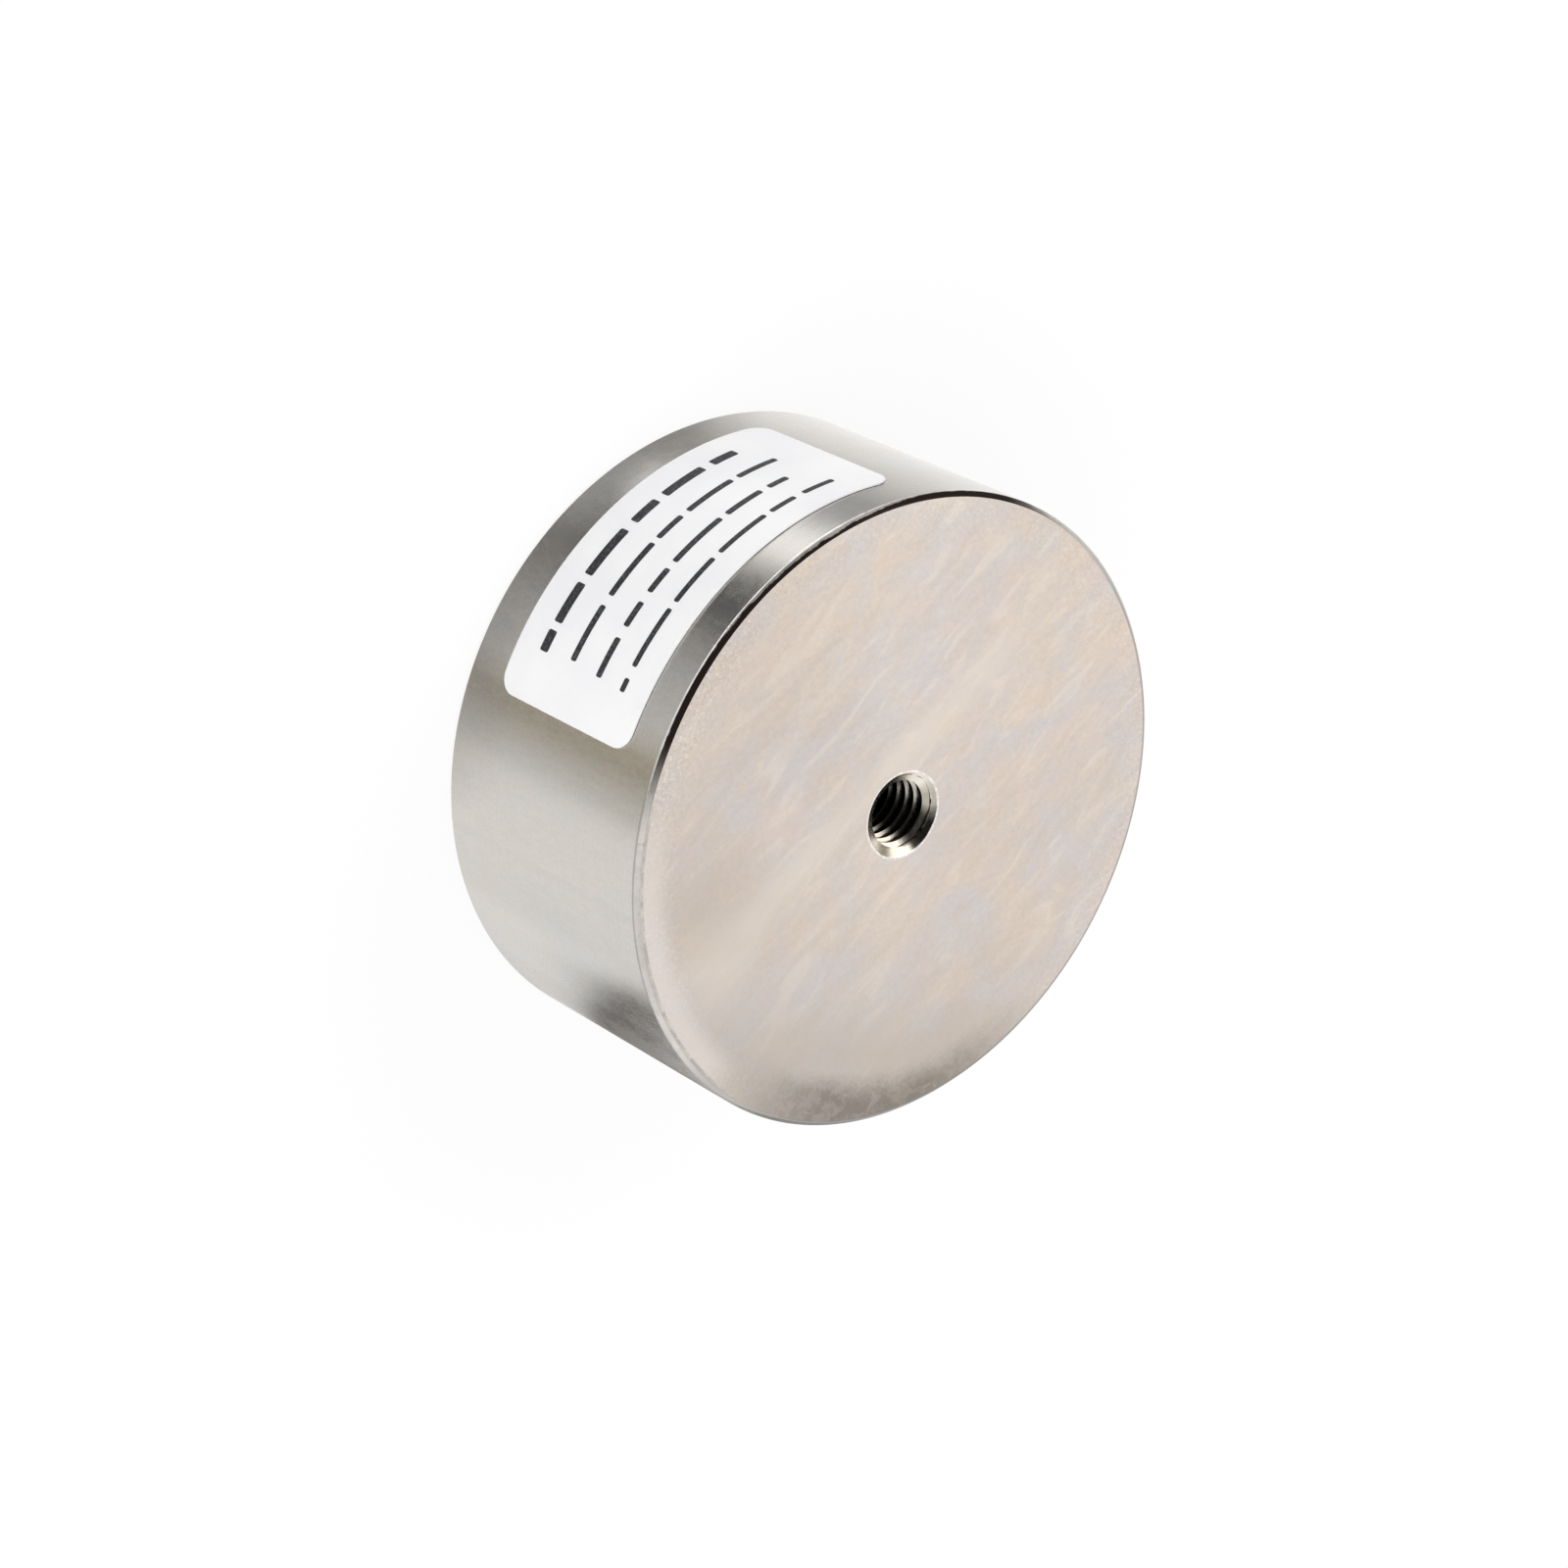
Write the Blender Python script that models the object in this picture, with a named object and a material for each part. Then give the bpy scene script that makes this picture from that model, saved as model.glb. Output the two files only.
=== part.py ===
"""Holding electromagnet.

A one-piece turned steel pot has a core at its centre. A coil wound on a bobbin fills the ring
groove between them, behind a face of cast resin. The other face has one tapped fixing hole.
The coil's two leads end in an insulating bush in the side wall.

Metres, +Z up. The magnet stands on its holding face at z = 0 with its axis on Z. The lead
exit faces -Y, and the sticker is on the side that faces +X.
"""

from math import cos, pi, radians, sin, sqrt, tan

import bmesh
import bpy
from mathutils import Matrix, Vector

# Turned pot
POT_RADIUS = 0.0325
POT_HEIGHT = 0.0300
WALL_THICKNESS = 0.0035
BACK_THICKNESS = 0.0070
FACE_CHAMFER = 0.0005
POLE_CHAMFER = 0.0003
GROOVE_RADIUS = POT_RADIUS - WALL_THICKNESS
GROOVE_FLOOR = POT_HEIGHT - BACK_THICKNESS

# Fixing hole, drilled for an M8 thread
TAP_DRILL_RADIUS = 0.0034
TAP_DRILL_DEPTH = 0.0150
DRILL_POINT_ANGLE = radians(118)
COUNTERSINK_RADIUS = 0.00446

# Clearances
BORE_CLEARANCE = 0.0003
SEAT_GAP = 0.00015
WIRE_GAP = 0.0001
BUTT_GAP = 0.00005

# Radii of the groove's contents, from the pot's wall in to its core
CHANNEL_WIDTH = 0.0037
TAPE_THICKNESS = 0.0003
WINDING_BUILD = 0.0096
BARREL_WALL = 0.0008
TAPE_RADIUS = GROOVE_RADIUS - CHANNEL_WIDTH
TAPE_BORE = TAPE_RADIUS - TAPE_THICKNESS
WINDING_RADIUS = TAPE_BORE - SEAT_GAP
WINDING_BORE = WINDING_RADIUS - WINDING_BUILD
BARREL_RADIUS = WINDING_BORE - SEAT_GAP
BOBBIN_BORE = BARREL_RADIUS - BARREL_WALL
CORE_RADIUS = BOBBIN_BORE - BORE_CLEARANCE
FLANGE_RADIUS = GROOVE_RADIUS - BORE_CLEARANCE

# Cast resin in the groove's mouth
RESIN_RECESS = 0.0004
RESIN_DEPTH = 0.0020
RESIN_CREEP = 0.0002
RESIN_CREEP_WIDTH = 0.0005
RESIN_TOP = RESIN_RECESS + RESIN_DEPTH

# Insulating washer on the groove's floor
WASHER_THICKNESS = 0.0003
WASHER_TOP = GROOVE_FLOOR - SEAT_GAP
WASHER_BOTTOM = WASHER_TOP - WASHER_THICKNESS

# Heights of the bobbin, and of the winding and tape between its flanges
FLANGE_THICKNESS = 0.0007
BOBBIN_BOTTOM = RESIN_TOP + SEAT_GAP
BOBBIN_TOP = WASHER_BOTTOM - SEAT_GAP
LOWER_FLANGE_TOP = BOBBIN_BOTTOM + FLANGE_THICKNESS
UPPER_FLANGE_BOTTOM = BOBBIN_TOP - FLANGE_THICKNESS
TAIL_RADIUS = 0.00017
TAIL_PASSAGE = 2 * TAIL_RADIUS + 2 * WIRE_GAP
WINDING_BOTTOM = LOWER_FLANGE_TOP + SEAT_GAP
WINDING_TOP = UPPER_FLANGE_BOTTOM - TAIL_PASSAGE
TURN_ROWS = 10
TURN_RELIEF = 0.0004
TAPE_SETBACK = 0.0002

# Leads, and the bush that they end in
LEAD_RADIUS = 0.0006
LEAD_CORE_RADIUS = 0.00028
LEAD_BORE = LEAD_CORE_RADIUS + BUTT_GAP
LEAD_SPACING = 0.0018
BUSH_BORE = LEAD_RADIUS + WIRE_GAP
BUSH_WALL = 0.00045
BUSH_RADIUS = LEAD_SPACING / 2 + BUSH_BORE + BUSH_WALL
EXIT_RADIUS = BUSH_RADIUS + SEAT_GAP
LEAD_HEADROOM = 0.0002
EXIT_HEIGHT = UPPER_FLANGE_BOTTOM - LEAD_HEADROOM - LEAD_RADIUS - LEAD_SPACING / 2
BUSH_SETBACK = 0.0001
BUSH_CHAMFER = 0.0002
BUSH_FACE = POT_RADIUS - BUSH_SETBACK
BUSH_END = GROOVE_RADIUS - WIRE_GAP
LEAD_SETBACK = 0.0003
LEAD_END = BUSH_FACE - LEAD_SETBACK

# Splices in the channel between the tape and the pot's wall
CHANNEL_RADIUS = GROOVE_RADIUS - CHANNEL_WIDTH / 2
SPLICE_HEIGHT = EXIT_HEIGHT - LEAD_SPACING / 2
SPLICE_MIDDLE = 0.0151
SPLICE_LENGTH = 0.0024
SPLICE_RADIUS = 0.00055
SLEEVE_LENGTH = 0.0076
SLEEVE_BORE = LEAD_RADIUS + SEAT_GAP
SLEEVE_WALL = 0.0003
SLEEVE_RADIUS = SLEEVE_BORE + SLEEVE_WALL
STRIPPED_LENGTH = 0.0009
LEAD_TURN_RADIUS = 0.0016
TAIL_BEND = 0.0006
TAIL_RUN = 0.0028
TAIL_RISE = SPLICE_MIDDLE + SLEEVE_LENGTH / 2 + SLEEVE_RADIUS + TAIL_RUN
TAIL_RISE_ANGLE = TAIL_RISE / CHANNEL_RADIUS
SLOT_CLEARANCE = 0.0003
SLOT_WIDTH = 2 * TAIL_RADIUS + 2 * SLOT_CLEARANCE
TAIL_LAP = 0.0012

# Sticker on the side wall
STICKER_LENGTH = 0.0400
STICKER_WIDTH = 0.0200
STICKER_CORNER = 0.0020
STICKER_THICKNESS = 0.00015
STICKER_TURN = radians(-24.1)
STICKER_HEIGHT = 0.01535
STICKER_BACK = POT_RADIUS + BUTT_GAP

# Facets round each shape
POT_FACETS = 96
RING_FACETS = 56
WINDING_FACETS = 40
HOLE_FACETS = 28
WIRE_FACETS = 6
LEAD_FACETS = 8
SHARP_ANGLE = radians(35)


def clear_scene():
    for existing in list(bpy.data.objects):
        bpy.data.objects.remove(existing)


def finish(name, colour, metallic, roughness):
    """A Principled material."""
    made = bpy.data.materials.new(name)
    made.use_nodes = True
    inputs = made.node_tree.nodes["Principled BSDF"].inputs
    inputs["Base Color"].default_value = (*colour, 1.0)
    inputs["Metallic"].default_value = metallic
    inputs["Roughness"].default_value = roughness
    return made


def place(name, shape, material=None):
    """The shape as an object with its faces turned out, smooth between its sharp edges."""
    bmesh.ops.recalc_face_normals(shape, faces=shape.faces)
    mesh = bpy.data.meshes.new(name)
    shape.to_mesh(mesh)
    shape.free()
    mesh.shade_smooth()
    mesh.set_sharp_from_angle(angle=SHARP_ANGLE)
    if material:
        mesh.materials.append(material)
    made = bpy.data.objects.new(name, mesh)
    bpy.context.collection.objects.link(made)
    return made


def cut(target, cutter):
    """Takes the cutter's shape out of the target."""
    cutter.hide_render = True
    cutter.display_type = "WIRE"
    boolean = target.modifiers.new(cutter.name, "BOOLEAN")
    boolean.operation = "DIFFERENCE"
    boolean.solver = "EXACT"
    boolean.object = cutter


def ring_of(shape, radius, height, facets):
    """Corners of a circle about Z, or its one centre where the radius is zero."""
    if radius == 0:
        return [shape.verts.new((0, 0, height))]
    turns = [2 * pi * step / facets for step in range(facets)]
    return [
        shape.verts.new((radius * cos(turn), radius * sin(turn), height)) for turn in turns
    ]


def skin(shape, first, second):
    """Faces between two rings. Either ring may be a single point."""
    count = max(len(first), len(second))
    if count == 1:
        return
    for step in range(count):
        after = step + 1
        corners = (
            first[step % len(first)],
            first[after % len(first)],
            second[after % len(second)],
            second[step % len(second)],
        )
        shape.faces.new(list(dict.fromkeys(corners)))


def revolve(section, facets):
    """A solid of revolution about Z from the corners of its section, as (radius, height)."""
    shape = bmesh.new()
    rings = [ring_of(shape, radius, height, facets) for radius, height in section]
    for first, second in zip(rings, rings[1:] + rings[:1]):
        skin(shape, first, second)
    return shape


def box_section(inner, outer, bottom, top):
    return [(inner, bottom), (outer, bottom), (outer, top), (inner, top)]


def rod_section(radius, start, end):
    return [(0, start), (radius, start), (radius, end), (0, end)]


def towards_exit(shape, height=EXIT_HEIGHT):
    """Lays a shape that was made about Z along the lead exit's axis, which points to -Y."""
    turn = Matrix.Translation((0, 0, height)) @ Matrix.Rotation(radians(90), 4, "X")
    bmesh.ops.transform(shape, matrix=turn, verts=shape.verts)
    return shape


def channel_point(angle, radius, height):
    """A point at this angle from the lead exit, counted towards +X."""
    return Vector((radius * sin(angle), -radius * cos(angle), height))


def arc_points(start, end, steps, heights=(SPLICE_HEIGHT, SPLICE_HEIGHT)):
    """Points round the channel between two angles, with the height changing evenly."""
    shares = [step / steps for step in range(steps + 1)]
    low, high = heights
    return [
        channel_point(start + share * (end - start), CHANNEL_RADIUS, low + share * (high - low))
        for share in shares
    ]


def eased(corners, bend, steps=3):
    """The same line with each inner corner rounded."""
    path = [corners[0]]
    for before, corner, after in zip(corners, corners[1:], corners[2:]):
        reach_in = min(bend, (before - corner).length / 2)
        reach_out = min(bend, (after - corner).length / 2)
        enter = corner + (before - corner).normalized() * reach_in
        leave = corner + (after - corner).normalized() * reach_out
        for step in range(steps + 1):
            share = step / steps
            path.append(enter.lerp(corner, share).lerp(corner.lerp(leave, share), share))
    return path + [corners[-1]]


def frames_along(path):
    """At each point of the path, two unit vectors square to it that don't twist."""
    ways = [(after - before).normalized() for before, after in zip(path, path[1:])]
    ways = [ways[0]] + [(a + b).normalized() for a, b in zip(ways, ways[1:])] + [ways[-1]]
    side = ways[0].orthogonal().normalized()
    frames = []
    for way in ways:
        side = (side - way * side.dot(way)).normalized()
        frames.append((side, way.cross(side)))
    return frames


def sweep(path, radii, facets, bore=0.0):
    """A round bar along the path with one radius for each point, or a tube if it has a bore."""
    shape = bmesh.new()
    frames = frames_along(path)

    def loop(point, frame, radius):
        turns = [2 * pi * step / facets for step in range(facets)]
        side, other = frame
        return [
            shape.verts.new(point + radius * (cos(turn) * side + sin(turn) * other))
            for turn in turns
        ]

    outside = [loop(*place_and_size) for place_and_size in zip(path, frames, radii)]
    if bore:
        inside = [loop(point, frame, bore) for point, frame in zip(path, frames)]
        loops = outside + inside[::-1]
        loops = loops + loops[:1]
    else:
        shape.faces.new(outside[0])
        shape.faces.new(outside[-1])
        loops = outside
    for first, second in zip(loops, loops[1:]):
        skin(shape, first, second)
    return shape


def make_pot(steel):
    point = TAP_DRILL_RADIUS / tan(DRILL_POINT_ANGLE / 2)
    bore_end = POT_HEIGHT - TAP_DRILL_DEPTH
    countersink = COUNTERSINK_RADIUS - TAP_DRILL_RADIUS
    section = [
        (0, bore_end - point),
        (TAP_DRILL_RADIUS, bore_end),
        (TAP_DRILL_RADIUS, POT_HEIGHT - countersink),
        (COUNTERSINK_RADIUS, POT_HEIGHT),
        (POT_RADIUS - FACE_CHAMFER, POT_HEIGHT),
        (POT_RADIUS, POT_HEIGHT - FACE_CHAMFER),
        (POT_RADIUS, POLE_CHAMFER),
        (POT_RADIUS - POLE_CHAMFER, 0),
        (GROOVE_RADIUS + POLE_CHAMFER, 0),
        (GROOVE_RADIUS, POLE_CHAMFER),
        (GROOVE_RADIUS, GROOVE_FLOOR),
        (CORE_RADIUS, GROOVE_FLOOR),
        (CORE_RADIUS, POLE_CHAMFER),
        (CORE_RADIUS - POLE_CHAMFER, 0),
        (0, 0),
    ]
    pot = place("pot_body", revolve(section, POT_FACETS), steel)
    drill_start = GROOVE_RADIUS - WALL_THICKNESS / 2
    drill_end = POT_RADIUS + WALL_THICKNESS / 2
    drill = revolve(rod_section(EXIT_RADIUS, drill_start, drill_end), HOLE_FACETS)
    cut(pot, place("lead_exit_drill", towards_exit(drill)))


def make_resin(resin):
    inner = CORE_RADIUS + SEAT_GAP
    outer = GROOVE_RADIUS - SEAT_GAP
    edge = RESIN_RECESS - RESIN_CREEP
    section = [
        (inner, edge),
        (inner + RESIN_CREEP_WIDTH, RESIN_RECESS),
        (outer - RESIN_CREEP_WIDTH, RESIN_RECESS),
        (outer, edge),
        (outer, RESIN_TOP),
        (inner, RESIN_TOP),
    ]
    place("resin_face", revolve(section, RING_FACETS), resin)


def make_bobbin(nylon, pressboard):
    washer = box_section(BOBBIN_BORE, FLANGE_RADIUS, WASHER_BOTTOM, WASHER_TOP)
    place("floor_washer", revolve(washer, RING_FACETS), pressboard)
    section = [
        (BOBBIN_BORE, BOBBIN_BOTTOM),
        (FLANGE_RADIUS, BOBBIN_BOTTOM),
        (FLANGE_RADIUS, LOWER_FLANGE_TOP),
        (BARREL_RADIUS, LOWER_FLANGE_TOP),
        (BARREL_RADIUS, UPPER_FLANGE_BOTTOM),
        (FLANGE_RADIUS, UPPER_FLANGE_BOTTOM),
        (FLANGE_RADIUS, BOBBIN_TOP),
        (BOBBIN_BORE, BOBBIN_TOP),
    ]
    bobbin = place("bobbin", revolve(section, RING_FACETS), nylon)
    cut(bobbin, lead_slot())


def lead_slot():
    """Cutter for the slot that takes the coil's first turn out over the upper flange."""
    shape = bmesh.new()
    bmesh.ops.create_cube(shape, size=1)
    start = BARREL_RADIUS + WIRE_GAP
    end = FLANGE_RADIUS + BORE_CLEARANCE
    size = Matrix.Diagonal((SLOT_WIDTH, end - start, 2 * FLANGE_THICKNESS, 1))
    middle = Matrix.Translation((0, -(start + end) / 2, UPPER_FLANGE_BOTTOM + FLANGE_THICKNESS / 2))
    turn = Matrix.Rotation(-TAIL_RISE_ANGLE, 4, "Z")
    bmesh.ops.transform(shape, matrix=turn @ middle @ size, verts=shape.verts)
    return place("lead_slot_cutter", shape)


def make_winding(copper, tape):
    pitch = (WINDING_TOP - WINDING_BOTTOM) / TURN_ROWS
    valley = WINDING_RADIUS - TURN_RELIEF
    section = [(WINDING_BORE, WINDING_BOTTOM), (valley, WINDING_BOTTOM)]
    for row in range(TURN_ROWS):
        start = WINDING_BOTTOM + row * pitch
        section.append((WINDING_RADIUS, start + pitch / 2))
        section.append((valley, start + pitch))
    section.append((WINDING_BORE, WINDING_TOP))
    place("coil_winding", revolve(section, WINDING_FACETS), copper)
    wrap = box_section(
        TAPE_BORE, TAPE_RADIUS, WINDING_BOTTOM + TAPE_SETBACK, WINDING_TOP - TAPE_SETBACK
    )
    place("coil_tape", revolve(wrap, RING_FACETS), tape)


def lead_path(side, exit_height, start):
    """From this distance along the channel to the exit, then out through the bush."""
    sleeve_near = SPLICE_MIDDLE - SLEEVE_LENGTH / 2 - LEAD_RADIUS
    from_angle, level_to, turn_at = (
        side * distance / CHANNEL_RADIUS for distance in (start, sleeve_near, LEAD_TURN_RADIUS)
    )
    path = arc_points(from_angle, level_to, 2)
    path += arc_points(level_to, turn_at, 4, (SPLICE_HEIGHT, exit_height))[1:]
    corner = path[-1]
    centre = Vector((corner.x, corner.y - abs(corner.x), exit_height))
    for step in (1, 2, 3):
        turn = radians(30 * step)
        path.append(centre + abs(corner.x) * Vector((-side * sin(turn), cos(turn), 0)))
    return path + [Vector((0, -LEAD_END, exit_height))]


def splice_radii(steps):
    """A solder joint that swells towards its middle."""
    shares = [2 * step / steps - 1 for step in range(steps + 1)]
    least = LEAD_CORE_RADIUS
    return [least + (SPLICE_RADIUS - least) * sqrt(1 - share * share) for share in shares]


def make_lead(name, side, exit_height, materials):
    """One lead from its end in the bush to its splice, with the splice and its sleeve."""
    insulation, copper, solder, sleeve = materials
    splice_near = SPLICE_MIDDLE - SPLICE_LENGTH / 2
    core_end = splice_near - BUTT_GAP
    jacket = lead_path(side, exit_height, core_end - STRIPPED_LENGTH)
    sizes = [LEAD_RADIUS] * len(jacket)
    place(name + "_lead", sweep(jacket, sizes, LEAD_FACETS, LEAD_BORE), insulation)
    bared = channel_point(side * core_end / CHANNEL_RADIUS, CHANNEL_RADIUS, SPLICE_HEIGHT)
    core = [bared] + jacket
    sizes = [LEAD_CORE_RADIUS] * len(core)
    place(name + "_lead_core", sweep(core, sizes, WIRE_FACETS), copper)
    near = side * splice_near / CHANNEL_RADIUS
    far = side * (splice_near + SPLICE_LENGTH) / CHANNEL_RADIUS
    radii = splice_radii(6)
    joint = sweep(arc_points(near, far, 6), radii, LEAD_FACETS)
    place(name + "_splice", joint, solder)
    near = side * (SPLICE_MIDDLE - SLEEVE_LENGTH / 2) / CHANNEL_RADIUS
    far = side * (SPLICE_MIDDLE + SLEEVE_LENGTH / 2) / CHANNEL_RADIUS
    tube = arc_points(near, far, 4)
    cover = sweep(tube, [SLEEVE_RADIUS] * len(tube), LEAD_FACETS, SLEEVE_BORE)
    place(name + "_sleeve", cover, sleeve)


def tail_start(side):
    """The enamelled wire's end at the splice, and where it leaves the channel's middle."""
    at_splice = SPLICE_MIDDLE + SPLICE_LENGTH / 2 + BUTT_GAP
    clear_of_sleeve = SPLICE_MIDDLE + SLEEVE_LENGTH / 2 + SLEEVE_RADIUS
    angles = [side * at_splice / CHANNEL_RADIUS, side * clear_of_sleeve / CHANNEL_RADIUS]
    return arc_points(*angles, 4)


def make_tails(enamel):
    rise = CHANNEL_RADIUS + TAIL_BEND
    in_slot = UPPER_FLANGE_BOTTOM + FLANGE_THICKNESS / 2
    on_winding = WINDING_TOP + TAIL_PASSAGE / 2
    inner_turn = WINDING_BORE + TAIL_BEND
    start = tail_start(-1) + [
        channel_point(-TAIL_RISE_ANGLE, rise, SPLICE_HEIGHT),
        channel_point(-TAIL_RISE_ANGLE, rise, in_slot),
        channel_point(-TAIL_RISE_ANGLE, inner_turn, in_slot),
        channel_point(-TAIL_RISE_ANGLE, inner_turn, WINDING_TOP + WIRE_GAP),
    ]
    end = tail_start(1) + [
        channel_point(TAIL_RISE_ANGLE, CHANNEL_RADIUS, SPLICE_HEIGHT),
        channel_point(TAIL_RISE_ANGLE, CHANNEL_RADIUS, on_winding),
        channel_point(TAIL_RISE_ANGLE, WINDING_RADIUS - TAIL_LAP, on_winding),
    ]
    for name, corners in (("start_tail", start), ("finish_tail", end)):
        path = eased(corners, TAIL_BEND)
        place(name, sweep(path, [TAIL_RADIUS] * len(path), WIRE_FACETS), enamel)


def make_bush(nylon):
    """A plain bush that is pressed in flush with the wall."""
    section = [
        (0, BUSH_END),
        (BUSH_RADIUS, BUSH_END),
        (BUSH_RADIUS, BUSH_FACE - BUSH_CHAMFER),
        (BUSH_RADIUS - BUSH_CHAMFER, BUSH_FACE),
        (0, BUSH_FACE),
    ]
    bush = place("lead_bush", towards_exit(revolve(section, HOLE_FACETS)), nylon)
    for name, side in (("lower_bore", -1), ("upper_bore", 1)):
        pin = rod_section(BUSH_BORE, BUSH_END - BUSH_WALL, BUSH_FACE + BUSH_WALL)
        height = EXIT_HEIGHT + side * LEAD_SPACING / 2
        cut(bush, place(name, towards_exit(revolve(pin, 2 * LEAD_FACETS), height)))


def sticker_edge(distance):
    """How far the sticker's long edge draws in this far from its end."""
    short = max(STICKER_CORNER - distance, 0)
    return STICKER_CORNER - sqrt(STICKER_CORNER**2 - short**2)


def make_sticker(paper):
    corner_steps = [STICKER_CORNER * (1 - cos(radians(turn))) for turn in range(0, 91, 18)]
    flat = STICKER_LENGTH - 2 * STICKER_CORNER
    middle_steps = [STICKER_CORNER + flat * step / 30 for step in range(1, 30)]
    distances = corner_steps + middle_steps + [STICKER_LENGTH - d for d in corner_steps[::-1]]
    shape = bmesh.new()
    loops = []
    for distance in distances:
        turn = STICKER_TURN + (distance - STICKER_LENGTH / 2) / POT_RADIUS
        half = STICKER_WIDTH / 2 - sticker_edge(min(distance, STICKER_LENGTH - distance))
        outer = STICKER_BACK + STICKER_THICKNESS
        section = box_section(STICKER_BACK, outer, STICKER_HEIGHT - half, STICKER_HEIGHT + half)
        loops.append([shape.verts.new((r * cos(turn), r * sin(turn), z)) for r, z in section])
    for first, second in zip(loops, loops[1:]):
        skin(shape, first, second)
    shape.faces.new(loops[0])
    shape.faces.new(loops[-1])
    place("side_sticker", shape, paper)


def build():
    clear_scene()
    copper = finish("bare_copper", (0.72, 0.36, 0.20), 1.0, 0.35)
    solder = finish("solder", (0.62, 0.62, 0.60), 1.0, 0.40)
    sleeve = finish("glass_fibre_sleeve", (0.80, 0.78, 0.66), 0.0, 0.70)
    red = finish("red_lead_insulation", (0.55, 0.03, 0.03), 0.0, 0.45)
    black = finish("black_lead_insulation", (0.03, 0.03, 0.03), 0.0, 0.45)
    make_pot(finish("nickel_plated_steel", (0.62, 0.60, 0.57), 1.0, 0.32))
    make_resin(finish("cast_resin", (0.045, 0.045, 0.05), 0.0, 0.45))
    make_bobbin(
        finish("bobbin_nylon", (0.72, 0.70, 0.62), 0.0, 0.50),
        finish("pressboard", (0.30, 0.22, 0.12), 0.0, 0.80),
    )
    make_winding(
        finish("wound_copper", (0.60, 0.24, 0.10), 1.0, 0.30),
        finish("coil_tape_film", (0.75, 0.60, 0.12), 0.0, 0.35),
    )
    make_lead("start", -1, EXIT_HEIGHT - LEAD_SPACING / 2, (red, copper, solder, sleeve))
    make_lead("finish", 1, EXIT_HEIGHT + LEAD_SPACING / 2, (black, copper, solder, sleeve))
    make_tails(finish("enamelled_copper", (0.55, 0.20, 0.08), 1.0, 0.28))
    make_bush(finish("bush_nylon", (0.03, 0.03, 0.03), 0.0, 0.45))
    make_sticker(finish("sticker_film", (0.86, 0.86, 0.84), 0.0, 0.45))


build()
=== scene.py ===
"""Looks of a round holding electromagnet: its plated pot with a real thread, resin face, sticker,
lead bush and coil, on a pale floor in soft studio light.
"""

import random
from math import atan2, cos, pi, radians, sin, sqrt, tan

import bmesh
import bpy
from mathutils import Matrix, Vector

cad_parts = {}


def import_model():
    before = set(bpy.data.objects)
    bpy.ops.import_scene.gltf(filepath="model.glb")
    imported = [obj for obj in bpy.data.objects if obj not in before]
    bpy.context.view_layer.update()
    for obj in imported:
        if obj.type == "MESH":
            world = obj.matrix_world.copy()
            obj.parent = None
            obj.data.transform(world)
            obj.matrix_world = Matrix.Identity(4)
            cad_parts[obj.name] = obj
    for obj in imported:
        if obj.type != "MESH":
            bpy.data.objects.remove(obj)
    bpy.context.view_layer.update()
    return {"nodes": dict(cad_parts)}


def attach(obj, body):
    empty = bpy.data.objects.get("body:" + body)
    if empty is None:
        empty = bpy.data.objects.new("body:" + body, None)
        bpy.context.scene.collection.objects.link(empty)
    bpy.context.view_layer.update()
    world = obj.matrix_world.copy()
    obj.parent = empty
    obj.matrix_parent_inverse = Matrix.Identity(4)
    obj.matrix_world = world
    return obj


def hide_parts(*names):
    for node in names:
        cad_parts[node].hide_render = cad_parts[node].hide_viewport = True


MM = 0.001

# Sizes in millimetres, as in the solids
POT_RADIUS = 32.5
POT_HEIGHT = 30.0
GROOVE_RADIUS = 29.0
CORE_RADIUS = 14.0
GROOVE_FLOOR = 23.0
FACE_CHAMFER = 0.5
POLE_CHAMFER = 0.3
EDGE_ROUND = 0.05
EDGE_WEAR = (0.045, 0.11)
MOUTH_ROUND = 0.14
EXIT_RADIUS = 2.2
EXIT_HEIGHT = 20.0
THREAD_PITCH = 1.25
THREAD_MAJOR = 4.0
THREAD_MINOR = 3.324
DRILL_RADIUS = 3.4
THREAD_DEPTH = 12.0
THREAD_EASE = 0.05
DRILL_DEPTH = 15.0
DRILL_POINT = 2.043
COUNTERSINK_RADIUS = 4.46
COUNTERSINK_SLOPE = tan(radians(60))
BUSH_RADIUS = 2.05
BUSH_FACE = 32.4
BUSH_END = 28.9
BUSH_CHAMFER = 0.2
BUSH_BORE = 0.7
LEAD_SPACING = 1.8
RESIN_INNER = 14.15
RESIN_OUTER = 28.85
RESIN_FACE = 0.4
RESIN_TOP = 2.4
STICKER_TURN = radians(-24.1)
STICKER_MIDDLE = 15.35
STICKER_LENGTH = 40.0
STICKER_WIDTH = 20.0
STICKER_CORNER = 2.0
STICKER_BACK = 32.55
STICKER_FRONT = 32.70
STICKER_STEP = 0.35
CREEP_HEIGHT = 0.22
CREEP_REACH = 0.9
RESIN_SWELL = 0.012
MERGE_DISTANCE = 0.0005

# Printed bars: height, width, start and end of each row, then sizes that all bars share
BAR_ROWS = (
    (-6.0, 1.2, -13.5, 15),
    (-1.6, 0.8, -15, 15),
    (2.6, 0.8, -13, 15),
    (6.4, 0.7, -15.5, 15),
)
BAR_LENGTHS = (2.2, 6.5)
BAR_SHORTEST = 1.2
BAR_GAPS = (0.7, 1.3)
BAR_CORNER = 0.22
BAR_THICKNESS = 0.012

# Camera of the photograph
CAMERA_PLACE = (0.308471, 0.0, 0.324703)
CAMERA_TARGET = (0.0015538, 0.0024793, 0.015)
CAMERA_ROLL = radians(116.6434)
CAMERA_LENS = 101.05
CAMERA_SENSOR = 36.0

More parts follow.
